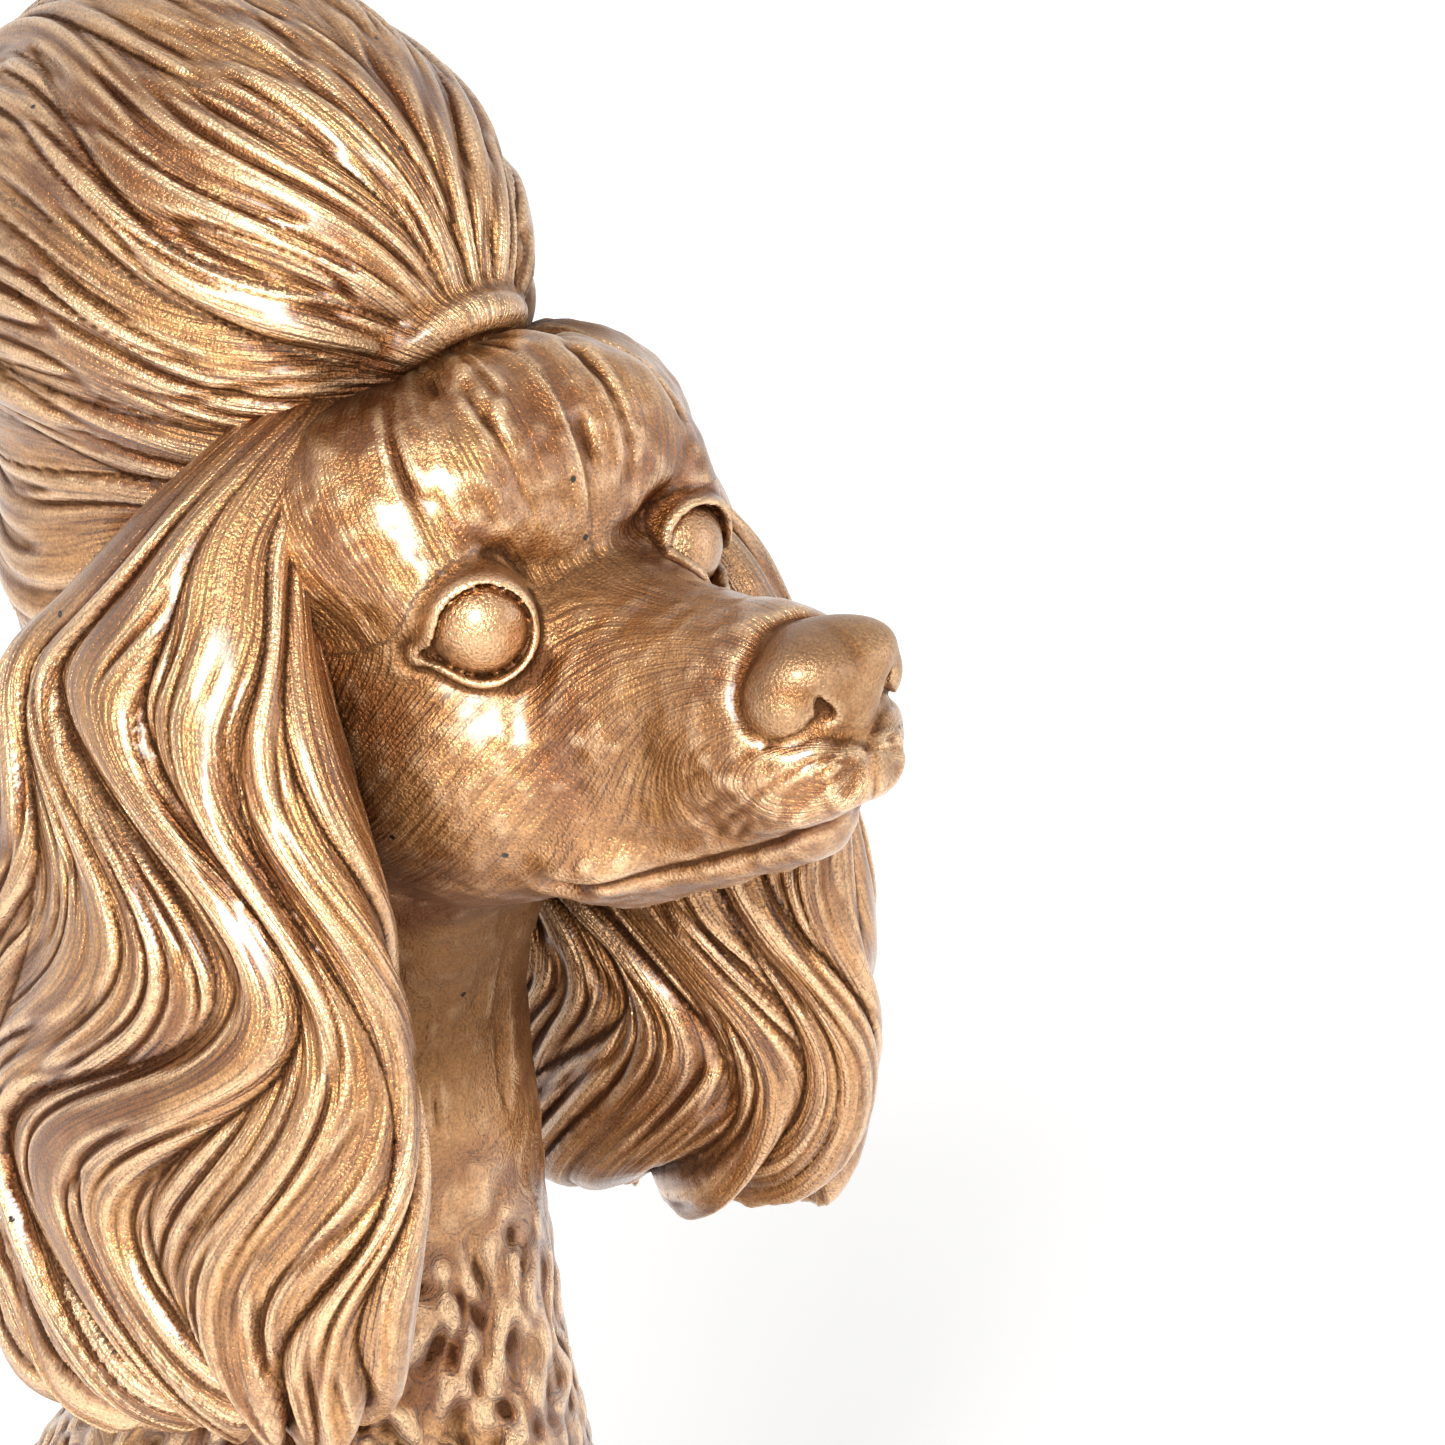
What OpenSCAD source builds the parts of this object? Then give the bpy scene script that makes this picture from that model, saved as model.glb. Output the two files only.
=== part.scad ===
// Seated poodle figurine in metallic gold paint, made of separately cast members that are keyed and glued together.
// Millimetres. The dog looks along -Y, its left side is +X and it sits on the plane Z = 0.

/* [Stance] */
// Height of the eyes above the table
eye_height = 200; // [190:1:212]
// Distance of the eyes in front of the origin on the seat
eye_reach = 42; // [38:1:46]
// Height of the seam between the head casting and the body casting
seam_height = 146; // [140:1:150]

/* [Head] */
// Greatest width of the skull
skull_w = 38; // [35:0.5:42]
// Reach of the skull behind the eyes
skull_back = 33; // [30:1:36]
// Height of the skull above the eyes
skull_top = 15; // [13:0.5:17]
// Depth of the jaw's angle below the eyes
jaw_drop = 28; // [25:0.5:30]
// Reach of the muzzle before the eyes
muzzle_len = 32; // [28:0.5:36]
// Width of the muzzle behind the nose
muzzle_w = 16.4; // [14:0.2:19]
// Height of the bridge of the nose above the eyes
bridge_top = 4.2; // [2.6:0.2:5.4]
// Depth of the chin below the eyes
chin_drop = 15.2; // [13:0.2:17]
// Width of the rounded forehead hair
pouf_w = 33.5; // [31:0.5:37]
// Height of the forehead hair above the eyes
pouf_top = 17.8; // [16.5:0.1:19]
// Distance between the middles of the eyes
eye_gap = 21.4; // [19:0.2:23]
// Diameter of an eye
eye_d = 8.4; // [7:0.2:10]
// Thickness of a stroke on the forehead hair
stroke_d = 3.5; // [2.5:0.25:4]
// Width of the nose pad
nose_w = 13.4; // [10:0.2:15]
// Height of the nose pad
nose_h = 11; // [8:0.2:12]

/* [Topknot] */
// Length of the hair ball from the tie to the back
topknot_len = 56; // [50:1:62]
// Width of the hair ball
topknot_w = 42; // [38:1:46]
// Height of the hair ball
topknot_h = 48; // [44:1:52]
// Distance of the ball's middle behind the eyes
topknot_back = 39; // [36:1:42]
// Height of the ball's middle above the eyes
topknot_lift = 17; // [14:1:20]
// Locks of hair around the topknot
topknot_locks = 14; // [11:1:16]
// Depth of the furrows between those locks
topknot_furrow = 1.3; // [0.8:0.1:1.6]

/* [Ears] */
// Length of an ear with its hair
ear_len = 74; // [68:1:80]
// Width of an ear from front to back
ear_w = 51; // [44:1:56]
// Thickness of an ear
ear_t = 18; // [14:1:20]
// Distance of an ear's middle from the middle of the head
ear_out = 26; // [25:0.5:29]
// Distance of an ear's lower end behind the eyes
ear_back = 19; // [16:1:22]
// Locks of hair around each ear
ear_locks = 11; // [9:1:13]
// Depth of the furrows between those locks
ear_furrow = 2.2; // [1.4:0.1:2.4]

/* [Body] */
// Diameter of the neck at the seam
neck_d = 29; // [27:0.5:32]
// Distance of the neck's middle behind the eyes
neck_back = 25; // [23:1:27]
// Width of the chest
chest_w = 58; // [52:1:64]
// Reach of the chest before the origin
chest_front = 40; // [37:1:43]
// Width of the seat
seat_w = 70; // [66:1:76]
// Reach of the seat behind the origin
seat_back = 56; // [52:1:60]

/* [Legs] */
// Distance between the middles of the forelegs
foreleg_gap = 31; // [28:0.5:35]
// Height of a foreleg's upper end
foreleg_top = 94; // [86:1:100]
// Thickness of a foreleg with its coat
foreleg_d = 22; // [19:0.5:24]
// Length of a paw
paw_len = 30; // [26:0.5:33]
// Width of a paw
paw_w = 18; // [16:0.5:20]
// Height of a paw
paw_h = 12.5; // [11:0.5:14]
// Width across both haunches
haunch_span = 92; // [88:1:98]
// Length of a haunch
haunch_len = 62; // [56:1:68]
// Height of a haunch
haunch_h = 68; // [60:1:74]

/* [Tail] */
// Length of the shaved part of the tail
tail_stem_len = 30; // [24:1:38]
// Thickness of the shaved part of the tail
tail_stem_d = 10; // [9:0.5:13]
// Diameter of the hair ball on the tail
pompom_d = 28; // [22:1:34]

/* [Casting] */
// Wall of the hollow castings
wall = 5; // [4:0.5:6]
// Room left for glue around every key and along every seam
glue_gap = 0.2; // [0.1:0.05:0.4]
// Diameter of the locating keys
peg_d = 7; // [6:0.5:8]
// Diameter of the pour hole in the seat
pour_d = 34; // [28:1:38]
// Width of the ledge around the pour hole
plug_ledge = 4; // [3:0.5:5]
// Thickness of the plug's rim
plug_rim_t = 2; // [1.5:0.25:3]
// Diameter of the vent through the plug
vent_d = 8; // [5:0.5:10]
// Thickness of the felt under the seat
felt_t = 1.5; // [1:0.25:2]
// Diameter of the felt under the seat
felt_d = 56; // [52:1:58]

/* [Hidden] */

gold = "#B98A50";
felt_brown = "#4A3A2C";
left = 1;
right = -1;
far = 400;

// Fineness of the forms
ring_points = 24;
topknot_steps = 18;
ear_steps = 21;
$fn = 24;

// Places that several castings share
eye_point = [0, -eye_reach, eye_height];
neck_y = -eye_reach + neck_back;
seat_y = 15;

// Keys between the castings
spigot_len = 9;
spigot_r = neck_d / 2 - wall / 2 - glue_gap;
neck_bore_r = neck_d / 2 - wall - glue_gap;
peg_reach = 6;
collar_d = 2 * peg_d;
collar_bore_d = collar_d - wall;
collar_len = 7;
collar_reach = -0.66 * skull_back;

// Places on the head, as reach before the eyes and height above them
pouf_len = 27;
pouf_reach = -7.6;
jaw_root_r = 6.5;
jaw_tip_r = 3.2;
nose_len = 10.8;
tie_reach = -15.5;
tie_lift = 14.5;
tie_ring_r = 7.5;
tie_band_r = 2.2;
tie_tilt = -45;
nape_size = [36, 32, 42];
nape_reach = -skull_back - 9;
nape_drop = 5;
ear_root_lift = 9;
ear_spread = 2;
ear_scallop = 2.5;
right_ear_swing = 4.5;
ear_peg_drop = 8;
ear_peg_reach = -19;

// Locks of hair: points across a lock as shares of its width, how far its edges wander and over which lengths
lock_places = [0, 0.2, 0.5, 0.8];
lock_wander = 0.3;
topknot_sway = 70;
ear_sway = 44;
golden = 0.618;

// Places on the body
foreleg_y = -chest_front + 7;
foreleg_peg_z = foreleg_top - 21;
leg_clear = 1;
haunch_t = 32;
haunch_y = seat_y + 6;
hindfoot_x = (foreleg_gap + 1.1 * foreleg_d + paw_w) / 2 + leg_clear;
hindfoot_y = -8;
hindfoot_len = paw_len + 8;
toe_r = 0.2 * paw_w;
curl_d = 4;
tail_sink = 1.5;
tail_lean = 24;
tail_aim = [0, sin(tail_lean), cos(tail_lean)];

// A point given as reach before the eyes, height above them and distance to the left
function from_eyes(reach, height, aside = 0) = eye_point + [aside, -reach, height];

// Products and quotients of two vectors, number by number
function times(a, b) = [for (i = [0 : 2]) a[i] * b[i]];
function over(a, b) = [for (i = [0 : 2]) a[i] / b[i]];

// Row of a table at share t of its length, on a smooth curve through all the rows
function row_at(table, t) =
    let (last = len(table) - 1, s = min(t * last, last - 0.0001), i = floor(s), k = s - i)
    let (a = table[max(i - 1, 0)], b = table[i], c = table[i + 1], d = table[min(i + 2, last)])
    b + 0.5 * k * ((c - a) + k * ((2 * a - 5 * b + 4 * c - d) + k * (3 * b - a - 3 * c + d)));

// Egg-shaped outline with its own reach to each side of its widest line
function egg(half_w, front, back) = [
    for (i = [0 : ring_points - 1])
        let (a = 360 * i / ring_points)
        [max(half_w, 0.1) * cos(a), max(sin(a) > 0 ? back : front, 0.1) * sin(a)]
];

// Slices of the head from the back of the skull to the lip: reach, half width, top, bottom
head_rows = [
    [-skull_back, skull_w * 0.20, skull_top * 0.40, -jaw_drop * 0.25],
    [-skull_back * 0.90, skull_w * 0.37, skull_top * 0.75, -jaw_drop * 0.58],
    [-skull_back * 0.68, skull_w * 0.47, skull_top * 0.96, -jaw_drop * 0.88],
    [-skull_back * 0.40, skull_w * 0.50, skull_top, -jaw_drop],
    [-skull_back * 0.16, skull_w * 0.46, skull_top * 0.80, -jaw_drop * 0.98],
    [muzzle_len * 0.03, skull_w * 0.37, skull_top * 0.46, -jaw_drop * 0.90],
    [muzzle_len * 0.19, muzzle_w * 0.68, bridge_top + 0.2, -jaw_drop * 0.80],
    [muzzle_len * 0.38, muzzle_w * 0.56, bridge_top - 0.2, -chin_drop * 1.20],
    [muzzle_len * 0.60, muzzle_w * 0.51, bridge_top + 0.2, -chin_drop * 1.02],
    [muzzle_len * 0.80, muzzle_w * 0.48, bridge_top - 0.6, -chin_drop * 0.84],
    [muzzle_len * 0.92, muzzle_w * 0.41, bridge_top - 3, -chin_drop * 0.75],
    [muzzle_len, muzzle_w * 0.22, bridge_top - 6, -chin_drop * 0.54]
];

// Slices of the neck from the seam up into the skull: height, x, y, half width, front, back
neck_rows = [
    [seam_height, 0, neck_y, neck_d * 0.50, neck_d * 0.50, neck_d * 0.50],
    [seam_height + 14, 0, neck_y, neck_d * 0.47, neck_d * 0.47, neck_d * 0.47],
    [eye_height - jaw_drop, 0, neck_y - 3, neck_d * 0.48, neck_d * 0.48, neck_d * 0.45],
    [eye_height - jaw_drop * 0.4, 0, neck_y - 6, neck_d * 0.45, neck_d * 0.40, neck_d * 0.40]
];

// One slice of the torso at a share of the way from the seat to the seam
function torso_row(share, half_w, front_y, back_y) =
    let (y = seat_y + (neck_y - seat_y) * share)
    [share * seam_height, 0, y, half_w, y - front_y, back_y - y];

torso_rows = [
    torso_row(0.00, seat_w * 0.46, -chest_front * 0.55, seat_back - 3),
    torso_row(0.11, seat_w * 0.50, -chest_front * 0.68, seat_back),
    torso_row(0.26, seat_w * 0.49, -chest_front * 0.80, seat_back - 4),
    torso_row(0.42, (seat_w + chest_w) / 4, -chest_front * 0.93, seat_back - 12),
    torso_row(0.58, chest_w * 0.50, -chest_front, seat_back - 23),
    torso_row(0.72, chest_w * 0.42, -chest_front * 0.95, seat_back - 37),
    torso_row(0.86, chest_w * 0.31, -chest_front * 0.85, seat_back - 51),
    torso_row(1.00, neck_d / 2, neck_y - neck_d / 2, neck_y + neck_d / 2)
];

// Middle of the tail's root, just inside the torso's back a fifth of the way up its slices
tail_slice = row_at(torso_rows, 0.21);
tail_root = [0, tail_slice[2] + tail_slice[5] - tail_sink, tail_slice[0]];

// One slice of a left ear at a share of the way up from its tip to its root. Its lower end may swing forwards.
function ear_row(swing, share, aside, half_t, half_w, back) =
    let (hang = pow(1 - share, 2))
    [
        eye_height + ear_root_lift - (1 - share) * ear_len,
        ear_out * aside + ear_spread * hang,
        -eye_reach + ear_back * back - swing * hang,
        ear_t * half_t, ear_w * half_w, ear_w * half_w
    ];

function ear_rows(swing) = [
    ear_row(swing, 0.00, 1.00, 0.16, 0.18, 1.00),
    ear_row(swing, 0.09, 1.00, 0.44, 0.42, 1.00),
    ear_row(swing, 0.24, 1.00, 0.52, 0.49, 1.00),
    ear_row(swing, 0.42, 0.98, 0.53, 0.49, 1.00),
    ear_row(swing, 0.62, 0.95, 0.49, 0.43, 1.03),
    ear_row(swing, 0.76, 0.91, 0.45, 0.38, 1.05),
    ear_row(swing, 0.86, 0.84, 0.38, 0.30, 0.93),
    ear_row(swing, 0.95, 0.74, 0.26, 0.19, 0.80),
    ear_row(swing, 1.03, 0.64, 0.08, 0.06, 0.66)
];

// One slice of a foreleg at a share of the way up from the paw's top
function foreleg_row(side, share, y, fullness) =
    let (low = paw_h * 0.7, half = foreleg_d / 2 * fullness)
    [low + share * (foreleg_top - low), side * foreleg_gap / 2, y, half, half, half];

function foreleg_rows(side) = [
    foreleg_row(side, 0.00, foreleg_y - 2, 0.70),
    foreleg_row(side, 0.07, foreleg_y - 2, 0.96),
    foreleg_row(side, 0.28, foreleg_y - 1, 1.00),
    foreleg_row(side, 0.60, foreleg_y + 1, 1.08),
    foreleg_row(side, 0.85, foreleg_y + 4, 1.06),
    foreleg_row(side, 1.00, foreleg_y + 7, 0.50)
];

// Middle of a ring of points
function middle(ring) = [for (i = [0 : 2]) [for (p = ring) p[i]] * [for (p = ring) 1] / len(ring)];

// Closed skin over rings of points, all with the same count
module skin(rings) {
    n = len(rings[0]);
    last = len(rings) - 1;
    points = [for (ring = rings) each ring];
    low_cap = [for (i = [0 : n - 1]) [i, (i + 1) % n, len(points)]];
    high_cap = [for (i = [0 : n - 1]) [last * n + (i + 1) % n, last * n + i, len(points) + 1]];
    sides = [
        for (r = [0 : last - 1], i = [0 : n - 1])
            let (a = r * n + i, b = r * n + (i + 1) % n)
            each [[a, a + n, b + n], [a, b + n, b]]
    ];
    polyhedron(points = concat(points, [middle(rings[0]), middle(rings[last])]),
               faces = concat(low_cap, sides, high_cap));
}

// Ring of a slice that lies flat: height, x, y, half width, front, back
function flat_ring(row, grow) = [
    for (p = egg(row[3] + grow, row[4] + grow, row[5] + grow))
        [row[1] + p[0], row[2] + p[1], row[0]]
];

// Ring of a slice that stands across the head: reach, half width, top, bottom
function standing_ring(row, grow) =
    let (middle = row[2] - 0.45 * (row[2] - row[3]))
    [
        for (p = egg(row[1] + grow, middle - row[3] + grow, row[2] - middle + grow))
            from_eyes(row[0], middle + p[1], p[0])
    ];

// Smooth form through slices that lie flat, from the lowest up
module upright_form(table, grow = 0, steps = 12) {
    skin([for (i = [0 : steps]) flat_ring(row_at(table, i / steps), grow)]);
}

// Smooth form through the head's slices, from the back to the front
module level_form(table, grow = 0, steps = 22) {
    skin([for (i = [0 : steps]) standing_ring(row_at(table, i / steps), grow)]);
}

module ellipsoid(size) {
    scale(size)
        sphere(d = 1);
}

module ball(point, r) {
    translate(point)
        sphere(r);
}

// Tapered rounded limb between two points
module limb(from, from_r, to, to_r) {
    hull() {
        ball(from, from_r);
        ball(to, to_r);
    }
}

function stroke_r(share) = stroke_d * (0.24 + 0.26 * sin(180 * pow(share, 0.7)));

// Stroke of hair: a tapered tube along points, thickest a third of the way down
module stroke(points, grow) {
    last = len(points) - 1;
    for (i = [0 : last - 1])
        limb(points[i], stroke_r(i / last) + grow, points[i + 1], stroke_r((i + 1) / last) + grow, $fn = 7);
}

// Step from 0 at one value to 1 at another, with soft ends
function ease(low, high, value) =
    let (t = max(0, min(1, (value - low) / (high - low))))
    t * t * (3 - 2 * t);

// Share from 0 to 1 that differs from one lock to the next
function chance(k) = golden * k - floor(golden * k);

// Edge of a lock, counted in locks, which wanders along the hair
function lock_edge(k, count, sway) = k + lock_wander * sin(360 * (sway + chance(k % count)));

// Height of a lock's round back over its furrows. It is higher on the side where it lies on the next lock.
function lock_height(k, place) =
    pow(4 * place * (1 - place), 0.6) * (0.8 + (chance(k) > 0.3 ? 0.5 : -0.5) * (place - 0.5));

// Points across all the locks at a place counted in sways: turn in degrees, height and the lock's number
function lock_points(count, sway) = [
    for (k = [0 : count - 1], place = lock_places)
        let (low = lock_edge(k, count, sway), high = lock_edge(k + 1, count, sway))
        [360 / count * (low + (high - low) * place), lock_height(k, place), k]
];

// Short curl of the coat that stands out of a skin at a point and hangs down a little
module curl(point) {
    limb(point, 0.5 * curl_d, point - [0, 0, 0.6 * curl_d], 0.35 * curl_d, $fn = 6);
}

// Everything above the table
module on_table() {
    intersection() {
        union()
            children();
        translate([-far / 2, -far / 2, 0])
            cube(far);
    }
}

// Locating key from a point along a turned direction, or its socket when it gets a gap
module key(point, turn, reach, d, gap) {
    translate(point)
        rotate(turn)
            translate([0, 0, -gap])
                cylinder(h = reach + 2 * gap, d = d + 2 * gap);
}

// Outer form of the body casting
module torso_form(grow = 0) {
    upright_form(torso_rows, grow);
}

// Curls on the chest between the forelegs and the ears, as turns from straight ahead
module chest_curls() {
    for (row = [0 : 2], turn = [-75 : 30 : 75]) {
        ring = row_at(torso_rows, 0.72 + 0.05 * row);
        a = turn + 15 * (row % 2);
        curl([ring[3] * sin(a), ring[2] - ring[4] * cos(a), ring[0]]);
    }
}

// Strokes combed forwards over the forehead hair, as turns to each side of the middle
module pouf_strokes(grow) {
    for (turn = [-60 : 24 : 60])
        stroke([for (i = [0 : 3]) pouf_point(20 + 27 * i, turn)], grow);
}

// Point under the forehead hair: fall 0 is its top and 90 its front, turned to one side
function pouf_point(fall, turn) =
    let (half = [pouf_w, pouf_len, pouf_len] / 2 - 0.2 * stroke_d * [1, 1, 1])
    from_eyes(pouf_reach, pouf_top - pouf_len / 2)
        + [half[0] * sin(fall) * sin(turn), -half[1] * sin(fall) * cos(turn), half[2] * cos(fall)];

// Outer form of the head casting: skull, muzzle, lower jaw, forehead hair with its strokes, nose, eyes and neck
module head_form(grow = 0) {
    level_form(head_rows, grow);
    upright_form(neck_rows, grow, steps = 6);
    limb(from_eyes(muzzle_len * 0.19, -jaw_drop * 0.66), jaw_root_r + grow,
         from_eyes(muzzle_len * 0.79, -chin_drop + jaw_tip_r), jaw_tip_r + grow);
    translate(from_eyes(pouf_reach, pouf_top - pouf_len / 2))
        ellipsoid([pouf_w + 2 * grow, pouf_len + 2 * grow, pouf_len + 2 * grow]);
    translate(from_eyes(muzzle_len - nose_len / 2, bridge_top - 0.5 * nose_h))
        ellipsoid([nose_w + 2 * grow, nose_len + 2 * grow, nose_h + 2 * grow], $fn = 20);
    for (side = [left, right])
        ball(from_eyes(-0.5, 0, side * eye_gap / 2), eye_d / 2 + grow, $fn = 20);
    pouf_strokes(grow);
}

// The topknot's ball: half sizes, middle, and the way from the middle to the tie with the ball scaled to a unit sphere
topknot_half = [topknot_w, topknot_len, topknot_h] / 2;
topknot_middle = from_eyes(-topknot_back, topknot_lift);
topknot_r = (topknot_len + topknot_h) / 4;
tie_way = over(from_eyes(tie_reach, tie_lift) - topknot_middle, topknot_half);
tie_axis = tie_way / norm(tie_way);
tie_up = cross(tie_axis, [1, 0, 0]);

// Reach of the nape from the ball's middle along a way on the unit sphere, or 0 where it isn't met
function nape_reach_along(way) =
    let (a = over(times(topknot_half, way), nape_size / 2),
         b = over(topknot_middle - from_eyes(nape_reach, -nape_drop), nape_size / 2))
    let (half_b = a * b, root = half_b * half_b - (a * a) * (b * b - 1))
    root > 0 ? max(0, (sqrt(root) - half_b) / (a * a)) : 0;

// Swing of the locks aside on their way back
function topknot_wave(fall, turn) = 7.2 * sin(2.6 * fall + 75 * sin(2 * turn)) * sin(fall);

// Ring of the topknot's skin at an angle from the tie, with locks that run from the tie to the back
function topknot_ring(fall, grow) = [
    for (p = lock_points(topknot_locks, topknot_r * fall * PI / 180 / topknot_sway))
        let (turn = p[0] - topknot_wave(fall, p[0]))
        let (way = cos(fall) * tie_axis + sin(fall) * (sin(turn) * [1, 0, 0] + cos(turn) * tie_up))
        let (normal = over(way, topknot_half), reach = max(1, nape_reach_along(way)))
        let (relief = topknot_furrow * (p[1] - 0.7) * ease(9, 29, fall) * ease(178, 165, fall))
        topknot_middle + reach * times(topknot_half, way) + (grow + relief) * normal / norm(normal)
];

// Outer form of the topknot: swept-back ball of combed hair with the nape, and the hair tie
module topknot_form(grow = 0) {
    skin([for (i = [0 : topknot_steps]) topknot_ring(3 + 174 * i / topknot_steps, grow)]);
    translate(from_eyes(tie_reach, tie_lift))
        rotate([tie_tilt, 0, 0])
            rotate_extrude($fn = 20)
                translate([tie_ring_r, 0])
                    circle(tie_band_r + grow, $fn = 8);
}

// Plain form that holds all of the topknot's ball and nape
module topknot_envelope(grow) {
    room = 2 * (grow + 0.3 * topknot_furrow) * [1, 1, 1];
    translate(topknot_middle)
        ellipsoid(2 * topknot_half + room);
    translate(from_eyes(nape_reach, -nape_drop))
        ellipsoid(nape_size + room);
}

// Swing of an ear's locks to and fro on their way down
function ear_wave(down, turn) = 21 * cos(360 * (down - 34) / 44 + 52 * sin(turn)) * ease(2, 16, down);

// Ring of a left ear's skin through a slice. Each lock ends at its own height.
function ear_ring(row) =
    let (down = eye_height + ear_root_lift - row[0])
    [
        for (p = lock_points(ear_locks, down / ear_sway))
            let (turn = p[0] - ear_wave(down, p[0]))
            let (relief = ear_furrow * (p[1] - 0.7) * ease(-2, 10, down))
            let (drop = ear_scallop * chance(p[2]) * ease(0.82 * ear_len, 0.97 * ear_len, down))
            [row[1] + (row[3] + relief) * cos(turn), row[2] + (row[4] + relief) * sin(turn), row[0] - drop]
    ];

// Outer form of an ear: a hanging bag of hair with wavy locks
module ear_form(side) {
    rows = ear_rows(side == right ? right_ear_swing : 0);
    mirror([side == right ? 1 : 0, 0, 0])
        skin([for (i = [0 : ear_steps]) ear_ring(row_at(rows, i / ear_steps))]);
}

module ear_key(side, gap = 0) {
    key(from_eyes(ear_peg_reach, -ear_peg_drop, side * (skull_w / 2 - peg_reach)), [0, side * 90, 0],
        ear_out - skull_w / 2 + peg_reach, peg_d, gap);
}

module topknot_collar(gap = 0) {
    key(from_eyes(collar_reach, skull_top - collar_len), [0, 0, 0], collar_len + wall, collar_d, gap);
}

module foreleg_key(side, gap = 0) {
    key([side * foreleg_gap / 2, foreleg_y, foreleg_peg_z], [-90, 0, 0], 2 * peg_reach, peg_d, gap);
}

module hind_leg_key(side, gap = 0) {
    key([side * (seat_w / 2 - peg_reach - 2), haunch_y, haunch_h * 0.5], [0, side * 90, 0],
        (haunch_span - seat_w) / 2 + peg_reach, peg_d, gap);
}

module tail_key(gap = 0) {
    key(tail_root - [0, peg_reach, 0], [-90, 0, 0], peg_reach + 0.3 * tail_stem_d, peg_d, gap);
}

// Hollow of the body and the bore of its neck
module torso_cavity() {
    intersection() {
        upright_form(torso_rows, -wall, steps = 8);
        translate([-far / 2, -far / 2, felt_t + wall])
            cube(far);
    }
    translate([0, neck_y, seam_height - wall])
        cylinder(h = spigot_len + 2 * wall, r = neck_bore_r);
}

// Recess for the felt and stepped pour hole
module seat_opening() {
    translate([0, seat_y, -wall]) {
        cylinder(h = wall + felt_t, d = felt_d + 2 * glue_gap);
        cylinder(h = wall + felt_t + plug_rim_t, d = pour_d + 2 * plug_ledge);
        cylinder(h = 3 * wall + felt_t, d = pour_d);
    }
}

module torso_shell() {
    color(gold)
        difference() {
            union() {
                torso_form();
                chest_curls();
                translate([0, neck_y, seam_height - wall])
                    cylinder(h = spigot_len + wall, r = spigot_r);
            }
            torso_cavity();
            seat_opening();
            for (side = [left, right]) {
                foreleg_key(side, glue_gap);
                hind_leg_key(side, glue_gap);
            }
            tail_key(glue_gap);
        }
}

module base_plug() {
    color(gold)
        translate([0, seat_y, felt_t])
            difference() {
                union() {
                    cylinder(h = plug_rim_t, d = pour_d + 2 * plug_ledge - 2 * glue_gap);
                    cylinder(h = wall, d = pour_d - 2 * glue_gap);
                }
                translate([0, 0, -wall])
                    cylinder(h = 3 * wall, d = vent_d);
            }
}

module seat_felt() {
    color(felt_brown)
        translate([0, seat_y, 0])
            cylinder(h = felt_t, d = felt_d);
}

// Hollow of the skull, reached through the neck
module head_cavity() {
    translate(from_eyes(-skull_back * 0.42, (skull_top - jaw_drop) / 2))
        ellipsoid([skull_w - 2 * wall, skull_back * 0.84, skull_top + jaw_drop - 2 * wall]);
    upright_form(neck_rows, -wall, steps = 4);
}

module head_shell() {
    color(gold)
        difference() {
            head_form();
            translate([0, neck_y, seam_height - wall])
                cylinder(h = spigot_len + wall + glue_gap, r = spigot_r + glue_gap);
            head_cavity();
            for (side = [left, right])
                ear_key(side, glue_gap);
            topknot_collar(glue_gap);
        }
}

module topknot() {
    color(gold)
        difference() {
            union() {
                difference() {
                    topknot_form();
                    head_form(glue_gap);
                }
                topknot_collar();
            }
            translate(from_eyes(-topknot_back, topknot_lift))
                ellipsoid([topknot_w - 2 * wall, topknot_len - 2 * wall, topknot_h - 2 * wall]);
            translate(from_eyes(collar_reach, skull_top - 2 * collar_len))
                cylinder(h = 3 * collar_len, d = collar_bore_d);
        }
}

module ear(side) {
    color(gold)
        union() {
            difference() {
                ear_form(side);
                head_form(glue_gap);
                topknot_envelope(glue_gap);
                torso_form(glue_gap);
            }
            ear_key(side);
        }
}

// Rounded paw with four toes, its heel at a point
module paw(point, length) {
    translate(point + [0, -0.3 * length, 0])
        ellipsoid([paw_w, 0.8 * length, 2 * paw_h]);
    for (toe = [-1.5, -0.5, 0.5, 1.5])
        limb(point + [toe * paw_w / 4, -0.35 * length, toe_r], toe_r,
             point + [toe * paw_w / 4.2, -0.72 * length + toe * toe * 0.9, toe_r], toe_r, $fn = 12);
}

// Curls on the front and the outside of a foreleg
module foreleg_curls(side) {
    for (row = [0 : 3], turn = [0 : 40 : 80]) {
        ring = row_at(foreleg_rows(side), 0.25 + 0.12 * row);
        a = turn + 20 * (row % 2);
        curl([ring[1] + side * ring[3] * sin(a), ring[2] - ring[4] * cos(a), ring[0]]);
    }
}

module foreleg(side) {
    color(gold)
        union() {
            difference() {
                on_table() {
                    upright_form(foreleg_rows(side), steps = 10);
                    paw([side * foreleg_gap / 2, foreleg_y, 0], paw_len);
                    foreleg_curls(side);
                }
                torso_form(glue_gap);
            }
            foreleg_key(side);
        }
}

// Point on the outside of a haunch, turned about its middle and at a share of its size
function haunch_point(side, turn, share) = [
    side * ((haunch_span - haunch_t) / 2 + haunch_t / 2 * sqrt(1 - share * share)),
    haunch_y + haunch_len / 2 * share * cos(turn),
    haunch_h * 0.48 + haunch_h / 2 * share * sin(turn)
];

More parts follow.
